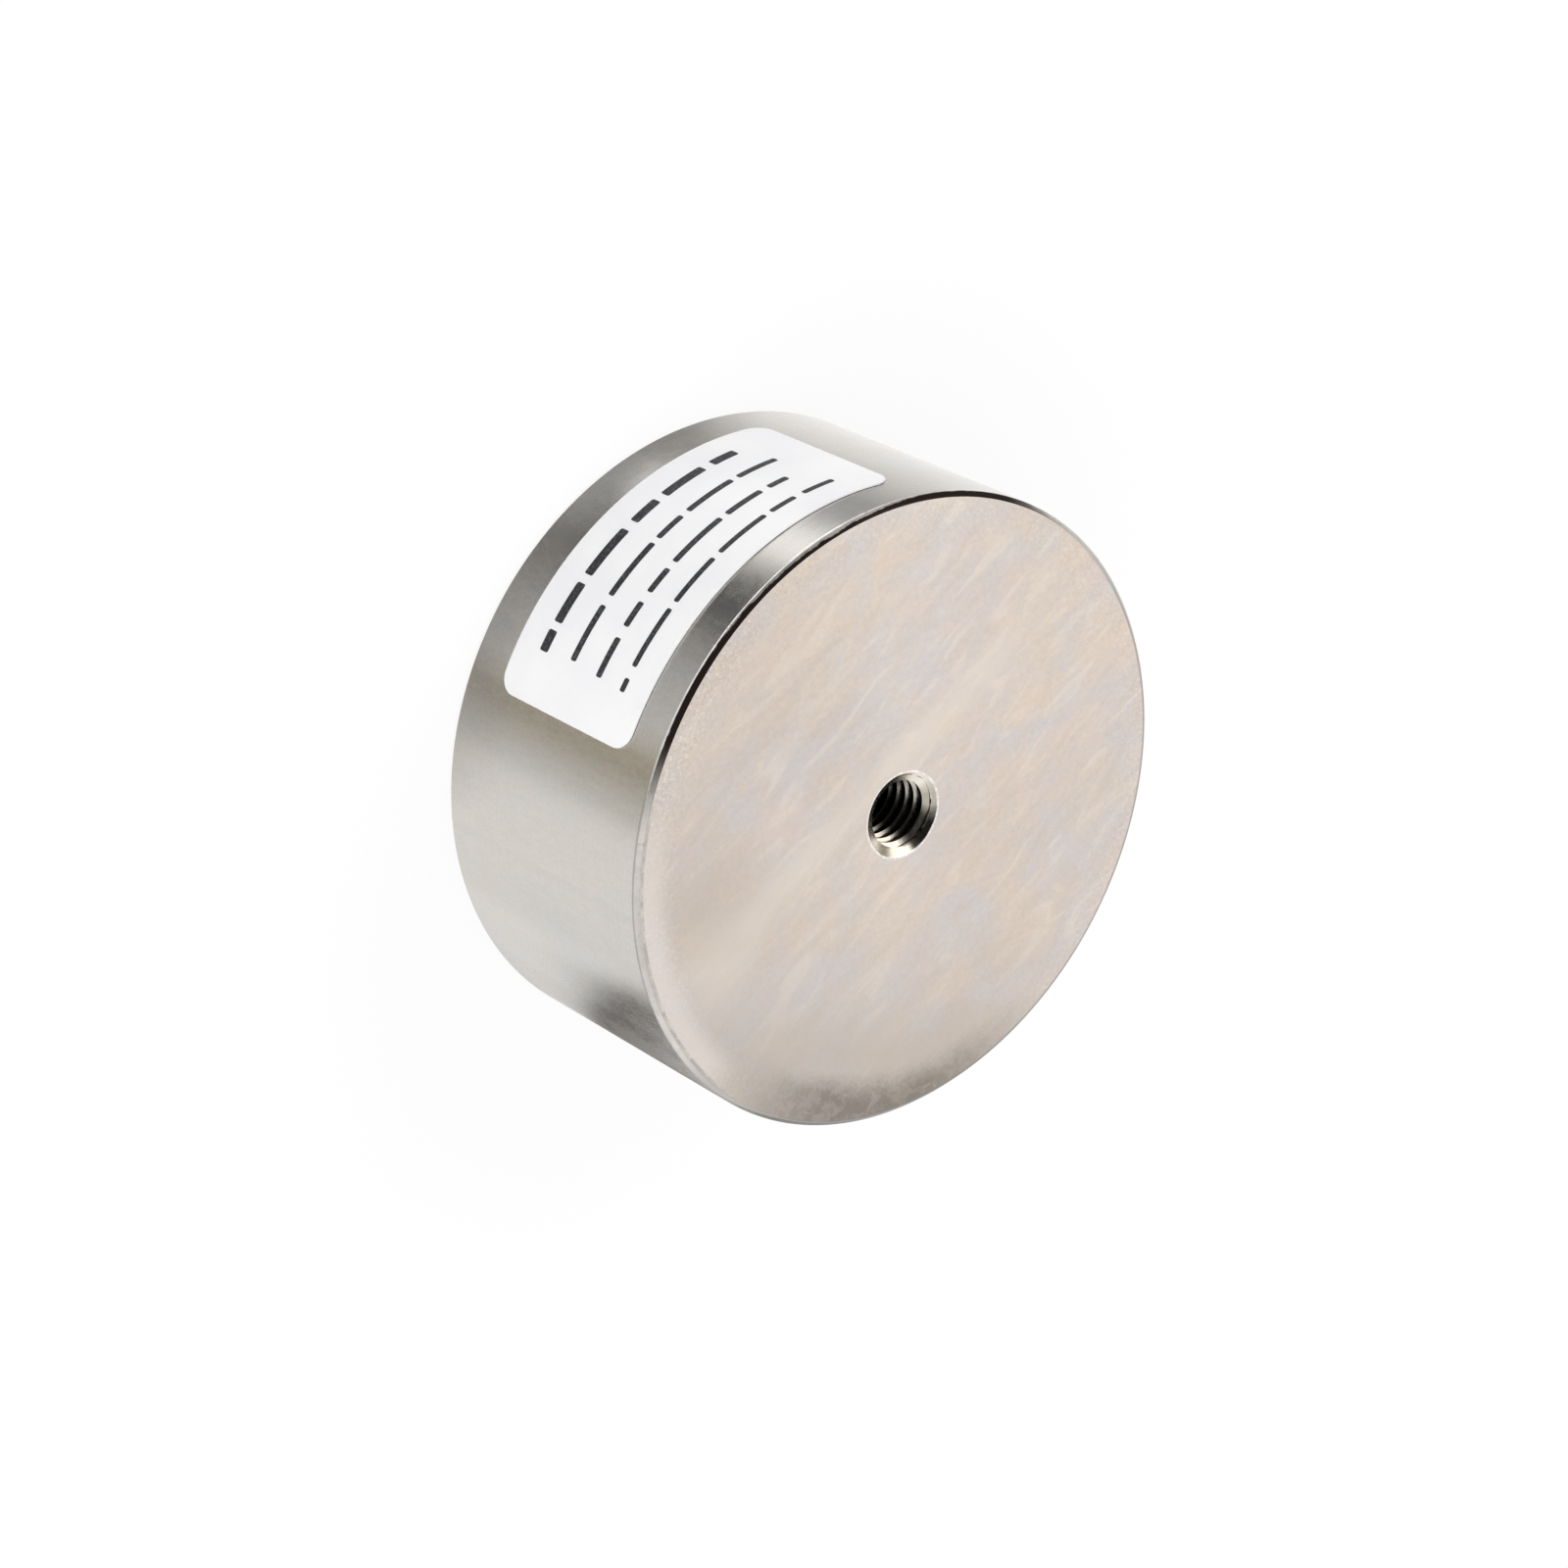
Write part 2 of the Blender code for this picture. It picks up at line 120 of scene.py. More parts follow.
# Studio as bright metal shows it: levels by direction in degrees, below and above the horizon
STUDIO_PEAK = 2.0
LOW_RING = (
    (-180, 1.45),
    (-150, 1.25),
    (-135, 1.12),
    (-112, 0.78),
    (-102, 0.42),
    (-88, 0.42),
    (-79, 0.95),
    (-72, 1.5),
    (-65, 1.7),
    (-58, 0.80),
    (-51, 0.08),
    (-42, 0.02),
    (-27, 0.17),
    (-15, 0.40),
    (-4, 0.56),
    (14, 0.70),
    (21, (0.50, 0.45, 0.36)),
    (27, (0.36, 0.32, 0.23)),
    (36, (0.58, 0.56, 0.50)),
    (50, 0.95),
    (60, 1.02),
    (120, 1.0),
    (138, 1.05),
    (150, 0.75),
    (163, 0.75),
    (175, 1.35),
    (180, 1.45),
)
HORIZON_RING = (
    (-180, 1.25),
    (-150, 0.95),
    (-120, 0.72),
    (-90, 0.85),
    (-60, 1.3),
    (-20, 1.3),
    (10, 0.72),
    (50, 0.95),
    (100, 0.88),
    (140, 0.55),
    (158, 0.6),
    (172, 1.05),
    (180, 1.25),
)
HIGH_RING = (
    (-180, (1.14, 1.1, 1.07)),
    (-152, (1.14, 1.1, 1.07)),
    (-143, (0.45, 0.43, 0.36)),
    (-130, 0.42),
    (-95, 0.45),
    (-78, 0.65),
    (-60, 0.85),
    (30, 0.85),
    (44, 1.0),
    (85, 1.1),
    (105, 1.3),
    (130, 1.3),
    (150, 1.1),
    (180, (1.14, 1.1, 1.07)),
)
UPPER_RING = (
    (-180, (1.03, 1.0, 0.98)),
    (-152, (1.03, 1.0, 0.98)),
    (-142, 0.75),
    (-133, 1.3),
    (-126, (2.0, 1.96, 1.84)),
    (-99, (2.0, 1.96, 1.84)),
    (-90, 0.6),
    (-80, 0.36),
    (10, 0.36),
    (26, 0.65),
    (44, 1.0),
    (85, 0.9),
    (110, 0.7),
    (140, 1.0),
    (155, 1.03),
    (180, (1.03, 1.0, 0.98)),
)
TOP_RING = (
    (-180, 1.0),
    (-130, 1.0),
    (-100, 0.6),
    (-70, 0.05),
    (62, 0.05),
    (95, 0.4),
    (130, 1.0),
    (180, 1.0),
)
OVERHEAD = (1.0, 1.0, 1.0)

# Height of a direction at which each ring gives way to the next, from and to
RING_HEIGHTS = ((-0.42, -0.28), (-0.08, 0.02), (0.42, 0.56), (0.84, 0.92), (0.985, 0.997))
EVEN_LEVEL = 0.62

# Lamps: name, direction and height in degrees, distance and size in metres, power in watts
LAMPS = (
    ("key_lamp", 50, 50, 1.0, 0.9, 5.9),
    ("fill_lamp", -95, 40, 1.0, 0.9, 4.7),
    ("under_lamp", 0, -90, 0.8, 0.8, 3.0),
)

# Floor: half its side and its gap below the magnet in metres, its colour, and its glow's fade
FLOOR_REACH = 3.0
FLOOR_GAP = 0.0002
FLOOR_COLOUR = (0.9, 0.9, 0.9, 1)
FLOOR_GLOW = {"From Min": 0.12, "From Max": 0.7, "To Min": 0.86, "To Max": 1.0}

# Dark cards that only metal shows, falling away from the wall's foot at a slope.
# The patch is given by its corners in plan, in millimetres, and the share of a corner's distance
# over which its edge is soft. The shade round the foot is given by its cover for each direction
# in degrees, and for each radius in millimetres.
PATCH_SLOPE = tan(radians(28))
PATCH_LEVEL = (0.06, 0.052, 0.048)
PATCH_CORNERS = (
    (8, 75), (-2.6, 45.8), (-5.6, 36), (-16.1, 30.8), (-64.7, 30.1), (-94, 39), (-12, 134),
)
PATCH_SOFT = 0.13
FOOT_SLOPE = tan(radians(20))
FOOT_LEVEL = (0.30, 0.30, 0.30)
FOOT_SHADE = (
    (-68, 0.0), (-58, 0.25), (-50, 0.75), (-31, 0.9), (-14, 0.6), (4, 0.5), (20, 0.45), (38, 0.0),
)
FOOT_FADE = ((32.6, 1.0), (36.5, 1.0), (41.0, 0.0))

# Steps round a circle, along the thread's pitch and across the resin
ROUND = 192
BUSH_ROUND = 96
HOLE_ROUND = 64
THREAD_ROWS = 16
RESIN_STEPS = 28

# The pot's materials, by their order in its mesh
FACE, SIDE, THREAD, POLE, GROOVE, EDGE, WORN_AND_HIGHLIT = range(7)

# Marks on the mounting face: a warm spot, and the direction of the painted highlight streak
WARM_SPOT = (17.4, 15.5, POT_HEIGHT)
HIGHLIGHT_STREAK_TURN = radians(66.4)


class Look:
    """A material whose nodes are joined as they are made."""

    def __init__(self, name):
        self.material = bpy.data.materials.new(name)
        self.material.use_nodes = True
        self.tree = self.material.node_tree
        self.shader = self.tree.nodes["Principled BSDF"]

    def node(self, kind, inputs=None, output=0, **settings):
        """Adds a node and returns one of its outputs."""
        made = add_node(self.tree, kind, **settings)
        for key, value in (inputs or {}).items():
            self.feed(made.inputs[key], value)
        return made.outputs[output]

    def feed(self, socket, value):
        if isinstance(value, bpy.types.NodeSocket):
            self.tree.links.new(value, socket)
        else:
            socket.default_value = value

    def set(self, **values):
        """Feeds the shader's own sockets."""
        for key, value in values.items():
            self.feed(self.shader.inputs[key.replace("_", " ")], value)

    def maths(self, operation, first, second=0.0):
        return self.node("Math", {0: first, 1: second}, operation=operation)

    def times(self, first, second):
        return self.maths("MULTIPLY", first, second)

    def off(self, angle, degrees):
        """How far an angle is from this direction, to either side, in radians."""
        return self.maths("ABSOLUTE", self.maths("SUBTRACT", angle, radians(degrees)))

    def facing(self, angle, degrees):
        """1 in this direction, falling to -1 opposite it."""
        return self.maths("COSINE", self.maths("SUBTRACT", angle, radians(degrees)))

    def split(self, vector):
        parts = add_node(self.tree, "SeparateXYZ")
        self.feed(parts.inputs[0], vector)
        return parts.outputs

    def points(self, scale=(1.0, 1.0, 1.0)):
        """Object coordinates in millimetres, stretched along each axis."""
        place = self.node("TexCoord", output=3)
        factor = [1000 * share for share in scale]
        return self.node("VectorMath", {0: place, 1: factor}, operation="MULTIPLY")

    def polar(self):
        """Distance from the axis in millimetres, angle in radians and height in millimetres."""
        x, y, z = self.split(self.points())
        radius = self.maths("SQRT", self.maths("ADD", self.times(x, x), self.times(y, y)))
        return radius, self.maths("ARCTAN2", y, x), z

    def turned_points(self, turn, scale):
        """Object coordinates turned about the axis, then stretched."""
        inputs = {"Vector": self.points(), "Angle": -turn}
        turned = self.node("VectorRotate", inputs, rotation_type="Z_AXIS")
        return self.node("VectorMath", {0: turned, 1: scale}, operation="MULTIPLY")

    def mean(self, *values):
        total = values[0]
        for value in values[1:]:
            total = self.maths("ADD", total, value)
        return self.maths("DIVIDE", total, len(values))

    def noise(self, vector, scale, detail=3.0, rough=0.5, swirl=0.0):
        inputs = {"Vector": vector, "Scale": scale, "Detail": detail, "Roughness": rough}
        return self.node("TexNoise", {**inputs, "Distortion": swirl})

    def noise_1d(self, value, scale, detail=3.0, rough=0.6):
        inputs = {"W": value, "Scale": scale, "Detail": detail, "Roughness": rough}
        return self.node("TexNoise", inputs, noise_dimensions="1D")

    def ramp(self, value, low, high, to_low=0.0, to_high=1.0):
        """A smooth step from one level to another while the value goes from low to high."""
        inputs = {"Value": value, "From Min": low, "From Max": high}
        inputs.update({"To Min": to_low, "To Max": to_high})
        return self.node("MapRange", inputs, interpolation_type="SMOOTHSTEP")

    def blend(self, share, first, second, mode="MIX"):
        made = add_node(self.tree, "Mix", data_type="RGBA", blend_type=mode)
        for index, value in ((0, share), (6, first), (7, second)):
            if isinstance(value, tuple):
                value = (*value, 1.0)
            self.feed(made.inputs[index], value)
        return made.outputs[2]

    def tint(self, colour, share, strength, towards):
        """Takes a colour towards another, by a share and its strength."""
        return self.blend(self.times(share, strength), colour, towards)

    def shade(self, colour, level):
        """A colour made lighter or darker by a level."""
        return self.blend(1.0, colour, self.combine(level, level, level), "MULTIPLY")

    def bump(self, height, distance_mm, strength=1.0, under=None):
        inputs = {"Height": height, "Distance": distance_mm * MM, "Strength": strength}
        if under:
            inputs["Normal"] = under
        return self.node("Bump", inputs)

    def combine(self, x, y, z):
        return self.node("CombineXYZ", {0: x, 1: y, 2: z})

    def round_the_axis(self, radius, angle, k_angle, k_radius):
        """Coordinates whose pattern forms sectors round the axis, with no seam."""
        return self.combine(
            self.times(self.maths("COSINE", angle), k_angle),
            self.times(self.maths("SINE", angle), k_angle),
            self.times(radius, k_radius),
        )


def turned_steel(name, warm, cool, rough, across, stretch, rings=1.0, uneven=0.3):
    """Nickel plate over lathe-turned steel. The tool's marks run round the axis."""
    look = Look(name)
    radius, angle, height = look.polar()
    travel = height if across == "height" else radius
    drift = look.noise(look.turned_points(radians(52), (0.05, 0.15, 0.1)), 1.0, 5.0, 0.6, 0.5)
    cloud = look.noise(look.points(), 0.13, 5.0, 0.6, 0.4)
    arcs = look.noise(look.round_the_axis(radius, angle, 8.0, 1.6), 1.0, 4.0, 0.6)
    fine = look.noise_1d(travel, 7.0, 4.0, 0.75)
    turned = look.ramp(look.mean(fine, arcs), 0.3, 0.7, 0.5 - 0.2 * rings, 0.5 + 0.2 * rings)
    grain = look.noise(look.points(), 3.4, 4.0, 0.7)
    wiped = look.noise(look.turned_points(radians(36), (0.2, 2.2, 1)), 1.0, 4.0, 0.6)
    colour = look.blend(look.ramp(look.mean(drift, cloud), 0.38, 0.60), cool, warm)
    low, high = (0.965, 1.035) if across == "radius" else (0.945, 1.045)
    tone = look.ramp(look.mean(turned, turned, grain, wiped), 0.42, 0.58, low, high)
    colour = look.shade(colour, tone)
    if across == "radius":
        colour = face_marks(look, colour, cloud, grain)
    specks = look.ramp(look.noise(look.points(), 1.9, 2.0, 0.5), 0.70, 0.76)
    colour = look.tint(colour, specks, 0.12, (0.36, 0.33, 0.30))
    roughness = look.ramp(look.mean(cloud, arcs, wiped), 0.42, 0.58, rough - 0.02, rough + 0.02)
    marks = look.bump(turned, 0.004, 0.4 * uneven)
    normal = look.bump(look.mean(grain, wiped), 0.006, 0.3 * uneven, marks)
    tangent = look.node("Tangent", direction_type="RADIAL", axis="Z")
    look.set(Base_Color=colour, Metallic=1.0, Roughness=roughness, Normal=normal, Tangent=tangent)
    look.set(Anisotropic=stretch, Anisotropic_Rotation=0.25)
    return look.material


def face_marks(look, colour, cloud, grain):
    """Marks on the mounting face over its turned ground, with a painted highlight streak and
    painted shade along its far rim.
    """
    radius, angle, _ = look.polar()
    speckle = look.noise(look.points(), 2.4, 4.0, 0.75)
    colour = hazy_patches(look, colour, cloud)
    colour = painted_highlight_streak(look, colour, cloud)
    colour = rim_grains(look, colour, radius, angle, speckle)
    colour = darker_side(look, colour, radius, angle, cloud, look.mean(grain, speckle))
    return rim_lines(look, colour, radius, angle)


def hazy_patches(look, colour, cloud):
    """Cool haze, warm patches, sanding streaks, soft strokes, a warm spot and a fine mottle."""
    haze = look.noise(look.turned_points(radians(125), (0.13, 0.2, 1)), 1.0, 4.0, 0.6, 1.2)
    colour = look.tint(colour, look.ramp(haze, 0.46, 0.72), 0.45, (0.655, 0.655, 0.665))
    blush = look.noise(look.turned_points(radians(-20), (0.16, 0.11, 1)), 1.0, 4.0, 0.6, 1.0)
    colour = look.tint(colour, look.ramp(blush, 0.46, 0.70), 0.45, (0.74, 0.64, 0.60))
    streak = look.noise(look.turned_points(radians(50), (0.06, 1.5, 1)), 1.0, 5.0, 0.65)
    patch = look.ramp(look.noise(look.points(), 0.09, 2.0, 0.5), 0.45, 0.62)
    share = look.times(look.ramp(streak, 0.46, 0.66), patch)
    colour = look.tint(colour, share, 0.15, (0.62, 0.61, 0.62))
    strokes = look.noise(look.turned_points(radians(72), (0.09, 0.36, 1)), 1.0, 3.0, 0.5, 1.8)
    colour = look.blend(look.ramp(strokes, 0.52, 0.68, 0.0, 0.42), colour, (0.83, 0.76, 0.68))
    colour = look.blend(look.ramp(strokes, 0.47, 0.34, 0.0, 0.25), colour, (0.62, 0.55, 0.48))
    spot = look.node("VectorMath", {0: look.points(), 1: WARM_SPOT}, 1, operation="DISTANCE")
    spot = look.maths("SUBTRACT", spot, look.times(cloud, 8.0))
    colour = look.blend(look.ramp(spot, -2.0, 6.0, 0.55, 0.0), colour, (0.64, 0.55, 0.46))
    mottle = look.ramp(look.noise(look.points(), 1.5, 4.0, 0.7), 0.36, 0.64, 0.975, 1.025)
    return look.shade(colour, mottle)


def painted_highlight_streak(look, colour, cloud):
    """A painted highlight: a lighter streak across the face, past the hole."""
    along, beside, _ = look.split(look.turned_points(HIGHLIGHT_STREAK_TURN, (1.0, 1.0, 1.0)))
    beside = look.maths("ADD", beside, look.times(cloud, 2.4))
    offset = look.maths("ABSOLUTE", look.maths("ADD", beside, look.ramp(along, 14, 27, 4.0, 2.6)))
    offset = look.maths("DIVIDE", offset, look.ramp(along, 12, 28, 3.2, 7.0))
    reach = look.times(look.ramp(along, -25, -15), look.ramp(along, 25, 32, 1.0, 0.0))
    # Painted highlight, strongest along the middle of the streak.
    painted_highlight = look.times(look.ramp(offset, 0.1, 1.0, 1.0, 0.0), reach)
    return look.tint(colour, painted_highlight, look.ramp(along, 0, 18, 0.5, 0.65), (0.80, 0.73, 0.65))


def rim_grains(look, colour, radius, angle, speckle):
    """Dark and light grains towards the rim, most of them in one stretch of it."""
    near_edge = look.ramp(radius, 26.0, 31.5)
    dark_grains = look.times(near_edge, look.ramp(speckle, 0.55, 0.68))
    light_grains = look.times(near_edge, look.ramp(speckle, 0.48, 0.36))
    most = look.ramp(look.facing(angle, 35), 0.4, 0.85)
    dark_share = look.ramp(most, 0, 1, 0.30, 0.60)
    light_share = look.ramp(most, 0, 1, 0.40, 0.90)
    colour = look.tint(colour, dark_grains, dark_share, (0.42, 0.38, 0.34))
    return look.tint(colour, light_grains, light_share, (0.90, 0.84, 0.76))


def darker_side(look, colour, radius, angle, cloud, specks):
    """Darker towards one side of the face, with a ragged dark crescent along its rim."""
    wide = look.times(look.facing(angle, 95), radius)
    colour = look.blend(look.ramp(wide, 2.0, 17.0, 0.0, 0.25), colour, (0.47, 0.43, 0.40))
    outer = look.times(look.facing(angle, 106), radius)
    colour = look.blend(look.ramp(outer, 16.0, 26.0, 0.0, 0.50), colour, (0.47, 0.43, 0.39))
    ragged = look.maths("ADD", radius, look.times(cloud, 2.5))
    ragged = look.maths("ADD", ragged, look.times(specks, 3.0))
    ragged = look.maths("ADD", ragged, look.ramp(angle, radians(100), radians(125), 1.2, 0.0))
    spread = look.ramp(look.off(angle, 118), radians(8), radians(43), 1.0, 0.0)
    crescent = look.times(spread, look.ramp(ragged, 30.0, 33.4))
    blotch = look.noise(look.points(), 0.55, 4.0, 0.7, 0.6)
    crescent = look.times(crescent, look.ramp(blotch, 0.40, 0.56, 0.75, 1.0))
    return look.tint(colour, crescent, 0.95, (0.25, 0.222, 0.194))


def rim_lines(look, colour, radius, angle):
    """A pale band and a broken grey line along one stretch of the rim, and a dark line of painted
    shade along the far rim opposite.
    """
    near = look.times(look.ramp(angle, 0.2, 0.5), look.ramp(angle, 1.25, 1.45, 1.0, 0.0))
    pale = look.times(near, look.ramp(radius, 28.0, 30.9))
    colour = look.tint(colour, pale, 0.65, (0.80, 0.745, 0.705))
    dots = look.noise(look.round_the_axis(radius, angle, 24.0, 0.8), 1.0, 4.0, 0.7)
    line = look.times(near, look.ramp(radius, 31.55, 31.75))
    line = look.times(line, look.ramp(dots, 0.40, 0.56, 0.2, 0.75))
    colour = look.blend(line, colour, (0.40, 0.38, 0.37))
    # Painted shade: a dark line along the far stretch of the rim.
    far = look.ramp(look.maths("ABSOLUTE", angle), radians(85), radians(125))
    line = look.times(far, look.ramp(radius, 31.68, 31.86))
    return look.tint(colour, line, 0.65, (0.27, 0.27, 0.27))


def edge_nickel(name, dark, light, black=0.0):
    """Chamfers and edges: smoother than the faces, with small knocks, painted shade on the far
    side, and a painted dark reflection along one stretch.
    """
    look = Look(name)
    radius, angle, height = look.polar()
    along = look.round_the_axis(radius, angle, 14.0, 0.8)
    worn = look.noise(along, 1.0, 5.0, 0.7)
    grain = look.noise(look.points(), 3.0, 4.0, 0.65)
    colour = look.blend(look.ramp(worn, 0.35, 0.65), dark, light)
    knock = look.ramp(look.noise(along, 3.0, 2.0, 0.5), 0.64, 0.72)
    colour = look.tint(colour, knock, 0.35, (0.22, 0.19, 0.16))
    upper = look.ramp(height, POT_HEIGHT - 5, POT_HEIGHT - 4)
    outside = look.ramp(radius, COUNTERSINK_RADIUS + 1, COUNTERSINK_RADIUS + 2)
    upper = look.times(upper, outside)
    # Painted shade: the chamfer darker on the far side.
    far = look.ramp(look.maths("ABSOLUTE", angle), radians(88), radians(120), 0.0, 0.75)
    colour = look.tint(colour, upper, far, (0.26, 0.255, 0.25))
    if black:
        # Painted dark reflection: a near-black stretch of the face's chamfer.
        away = look.off(angle, -36)
        reach = look.ramp(away, radians(42), radians(56), black, 0.0)
        across = look.maths("SUBTRACT", radius, POT_RADIUS - FACE_CHAMFER)
        wander = look.times(look.maths("SUBTRACT", worn, 0.5), 0.45)
        across = look.maths("ADD", across, wander)
        width = look.ramp(away, radians(4), radians(30), 0.20, 0.40)
        inner = look.ramp(look.maths("SUBTRACT", across, width), 0.0, 0.06, 1.0, 0.0)
        share = look.times(look.times(upper, reach), inner)
        colour = look.blend(share, colour, (0.045, 0.032, 0.028))
        lower = look.ramp(angle, radians(20), radians(60), 0.0, 0.35)
        lower = look.maths("ADD", lower, look.ramp(angle, radians(65), radians(78), 0.0, 0.5))
        lower = look.times(lower, look.ramp(angle, radians(120), radians(150), 1.0, 0.0))
        colour = look.tint(colour, upper, lower, (0.36, 0.34, 0.32))
    else:
        # Less of the painted highlight along one stretch of the worn edges.
        near = look.off(angle, 62)
        dull = look.ramp(near, radians(44), radians(56), 0.8, 0.0)
        colour = look.tint(colour, upper, dull, (0.33, 0.32, 0.30))
    look.set(Base_Color=colour, Metallic=1.0, Roughness=look.ramp(worn, 0.35, 0.65, 0.11, 0.20))
    look.set(Normal=look.bump(look.mean(grain, knock), 0.012, 0.4))
    return look.material


def threaded_steel():
    """The tapped bore, with painted shade that darkens it with depth, on its far wall and on one
    stretch of the countersink.
    """
    look = Look("threaded_steel")
    _, angle, height = look.polar()
    grain = look.noise(look.points((1, 1, 6)), 2.2, 4.0, 0.65)
    oil = look.noise(look.points(), 0.35, 3.0, 0.5)
    colour = look.blend(look.ramp(oil, 0.4, 0.65), (0.62, 0.57, 0.49), (0.74, 0.69, 0.61))
    # Painted shade: darker with depth, on the far wall and on one stretch of the countersink.
    depth = look.ramp(height, POT_HEIGHT - 8.0, POT_HEIGHT - 2.2, 0.05, 1.0)
    far = look.ramp(look.maths("ABSOLUTE", angle), radians(138), radians(156), 1.0, 0.3)
    far = look.ramp(height, POT_HEIGHT - 1.3, POT_HEIGHT - 0.6, far, 1.0)
    painted_cone_shade = look.ramp(look.facing(angle, 168), 0.88, 0.95, 1.0, 0.18)
    painted_cone_shade = look.ramp(height, POT_HEIGHT - 0.72, POT_HEIGHT - 0.56, 1.0, painted_cone_shade)
    depth = look.times(look.times(depth, far), painted_cone_shade)
    colour = look.shade(colour, depth)
    look.set(Base_Color=colour, Metallic=1.0, Roughness=look.ramp(grain, 0.3, 0.7, 0.12, 0.24))
    look.set(Normal=look.bump(grain, 0.01, 0.4))
    return look.material


def ground_steel():
    """The pole faces, ground flat together with straight marks and a few scratches."""
    look = Look("ground_steel")
    coarse = look.noise(look.points((0.03, 1.5, 1)), 1.0, 5.0, 0.7)
    fine = look.noise(look.points((0.06, 6, 1)), 1.2, 4.0, 0.65)
    cloud = look.noise(look.points(), 0.09, 4.0, 0.6)
    worn = look.noise(look.turned_points(radians(57), (0.07, 2.6, 1)), 1.0, 2.0, 0.5)
    scratch = look.ramp(worn, 0.66, 0.70)
    spots = look.ramp(look.noise(look.points(), 0.8, 4.0, 0.6), 0.64, 0.74)
    marks = look.mean(coarse, coarse, fine)
    colour = look.blend(look.ramp(marks, 0.38, 0.62), (0.43, 0.42, 0.40), (0.66, 0.64, 0.60))
    colour = look.blend(look.ramp(cloud, 0.4, 0.62, 0.0, 0.35), colour, (0.50, 0.45, 0.38))
    colour = look.tint(colour, spots, 0.3, (0.30, 0.26, 0.21))
    colour = look.tint(colour, scratch, 0.45, (0.80, 0.79, 0.76))
    rough = look.ramp(look.mean(marks, cloud), 0.4, 0.6, 0.22, 0.38)
    normal = look.bump(look.maths("SUBTRACT", marks, scratch), 0.012, 0.5)
    look.set(Base_Color=colour, Metallic=1.0, Roughness=rough, Normal=normal)
    return look.material


def cast_resin():
    """Black potting resin: slow swirls, pinholes, a little dust and a satin skin."""
    look = Look("cast_resin")
    radius, angle, _ = look.polar()
    flow = look.noise(look.round_the_axis(radius, angle, 2.2, 0.25), 1.0, 4.0, 0.6, 0.8)
    swirl = look.noise(look.points(), 0.16, 5.0, 0.62, 1.6)
    grain = look.noise(look.points(), 1.6, 4.0, 0.6)
    cells = look.node("TexVoronoi", {"Vector": look.points(), "Scale": 0.33}, feature="F1")
    pin = look.ramp(cells, 0.05, 0.12, 1.0, 0.0)
    skin = look.ramp(look.mean(flow, swirl), 0.42, 0.58)
    colour = look.blend(skin, (0.008, 0.008, 0.010), (0.060, 0.057, 0.056))
    dust = look.ramp(look.noise(look.points(), 2.6, 3.0, 0.6), 0.66, 0.74)
    colour = look.tint(colour, dust, 0.5, (0.24, 0.23, 0.21))
    colour = look.tint(colour, pin, 0.8, (0.006, 0.006, 0.006))
    height = look.maths("SUBTRACT", look.mean(flow, swirl), look.times(pin, 0.4))
    normal = look.bump(grain, 0.04, 0.4, look.bump(height, 0.6, 0.8))
    look.set(Base_Color=colour, Roughness=look.ramp(swirl, 0.38, 0.62, 0.16, 0.5), Normal=normal)
    return look.material


def sticker_film():
    look = Look("sticker_film")
    cloud = look.noise(look.points(), 0.12, 4.0, 0.5)
    fibre = look.noise(look.points(), 4.5, 5.0, 0.7)
    colour = look.blend(look.ramp(cloud, 0.3, 0.7), (0.80, 0.80, 0.82), (0.85, 0.85, 0.85))
    smudge = look.ramp(look.noise(look.points(), 0.5, 4.0, 0.6), 0.62, 0.78)
    colour = look.tint(colour, smudge, 0.10, (0.62, 0.61, 0.60))
    look.set(Base_Color=colour, Roughness=look.ramp(fibre, 0.3, 0.7, 0.38, 0.5))
    look.set(Normal=look.bump(fibre, 0.006, 0.35), Coat_Weight=0.15, Coat_Roughness=0.35)
    return look.material


def print_ink():
    look = Look("print_ink")
    wear = look.noise(look.points(), 3.5, 4.0, 0.7)
    colour = look.blend(look.ramp(wear, 0.45, 0.75), (0.012, 0.012, 0.014), (0.10, 0.10, 0.11))
    look.set(Base_Color=colour, Roughness=0.5, Normal=look.bump(wear, 0.004, 0.3))
    return look.material


def moulded(name, dark, light, low, high):
    """Moulded or extruded plastic with a fine satin grain."""
    look = Look(name)
    cloud = look.noise(look.points(), 0.5, 4.0, 0.55)
    grain = look.noise(look.points(), 7.0, 3.0, 0.6)
    colour = look.blend(look.ramp(cloud, 0.35, 0.65), dark, light)
    look.set(Base_Color=colour, Roughness=look.ramp(grain, 0.3, 0.7, low, high))
    look.set(Normal=look.bump(grain, 0.01, 0.4))
    return look.material


def drawn_metal(name, dark, light, low, high):
    """Wire or solder with faint draw marks and a change of tone."""
    look = Look(name)
    cloud = look.noise(look.points(), 0.8, 4.0, 0.6)
    grain = look.noise(look.points((1, 1, 5)), 3.0, 3.0, 0.6)
    colour = look.blend(look.ramp(cloud, 0.35, 0.65), dark, light)
    look.set(Base_Color=colour, Metallic=1.0, Roughness=look.ramp(grain, 0.3, 0.7, low, high))
    look.set(Normal=look.bump(grain, 0.01, 0.4))
    return look.material


def link_object(name, data):
    made = bpy.data.objects.new(name, data)
    bpy.context.scene.collection.objects.link(made)
    return made


def mesh_object(name, shape):
    """An object from a bmesh, which is then freed."""
    mesh = bpy.data.meshes.new(name)
    shape.to_mesh(mesh)
    shape.free()
    return link_object(name, mesh)


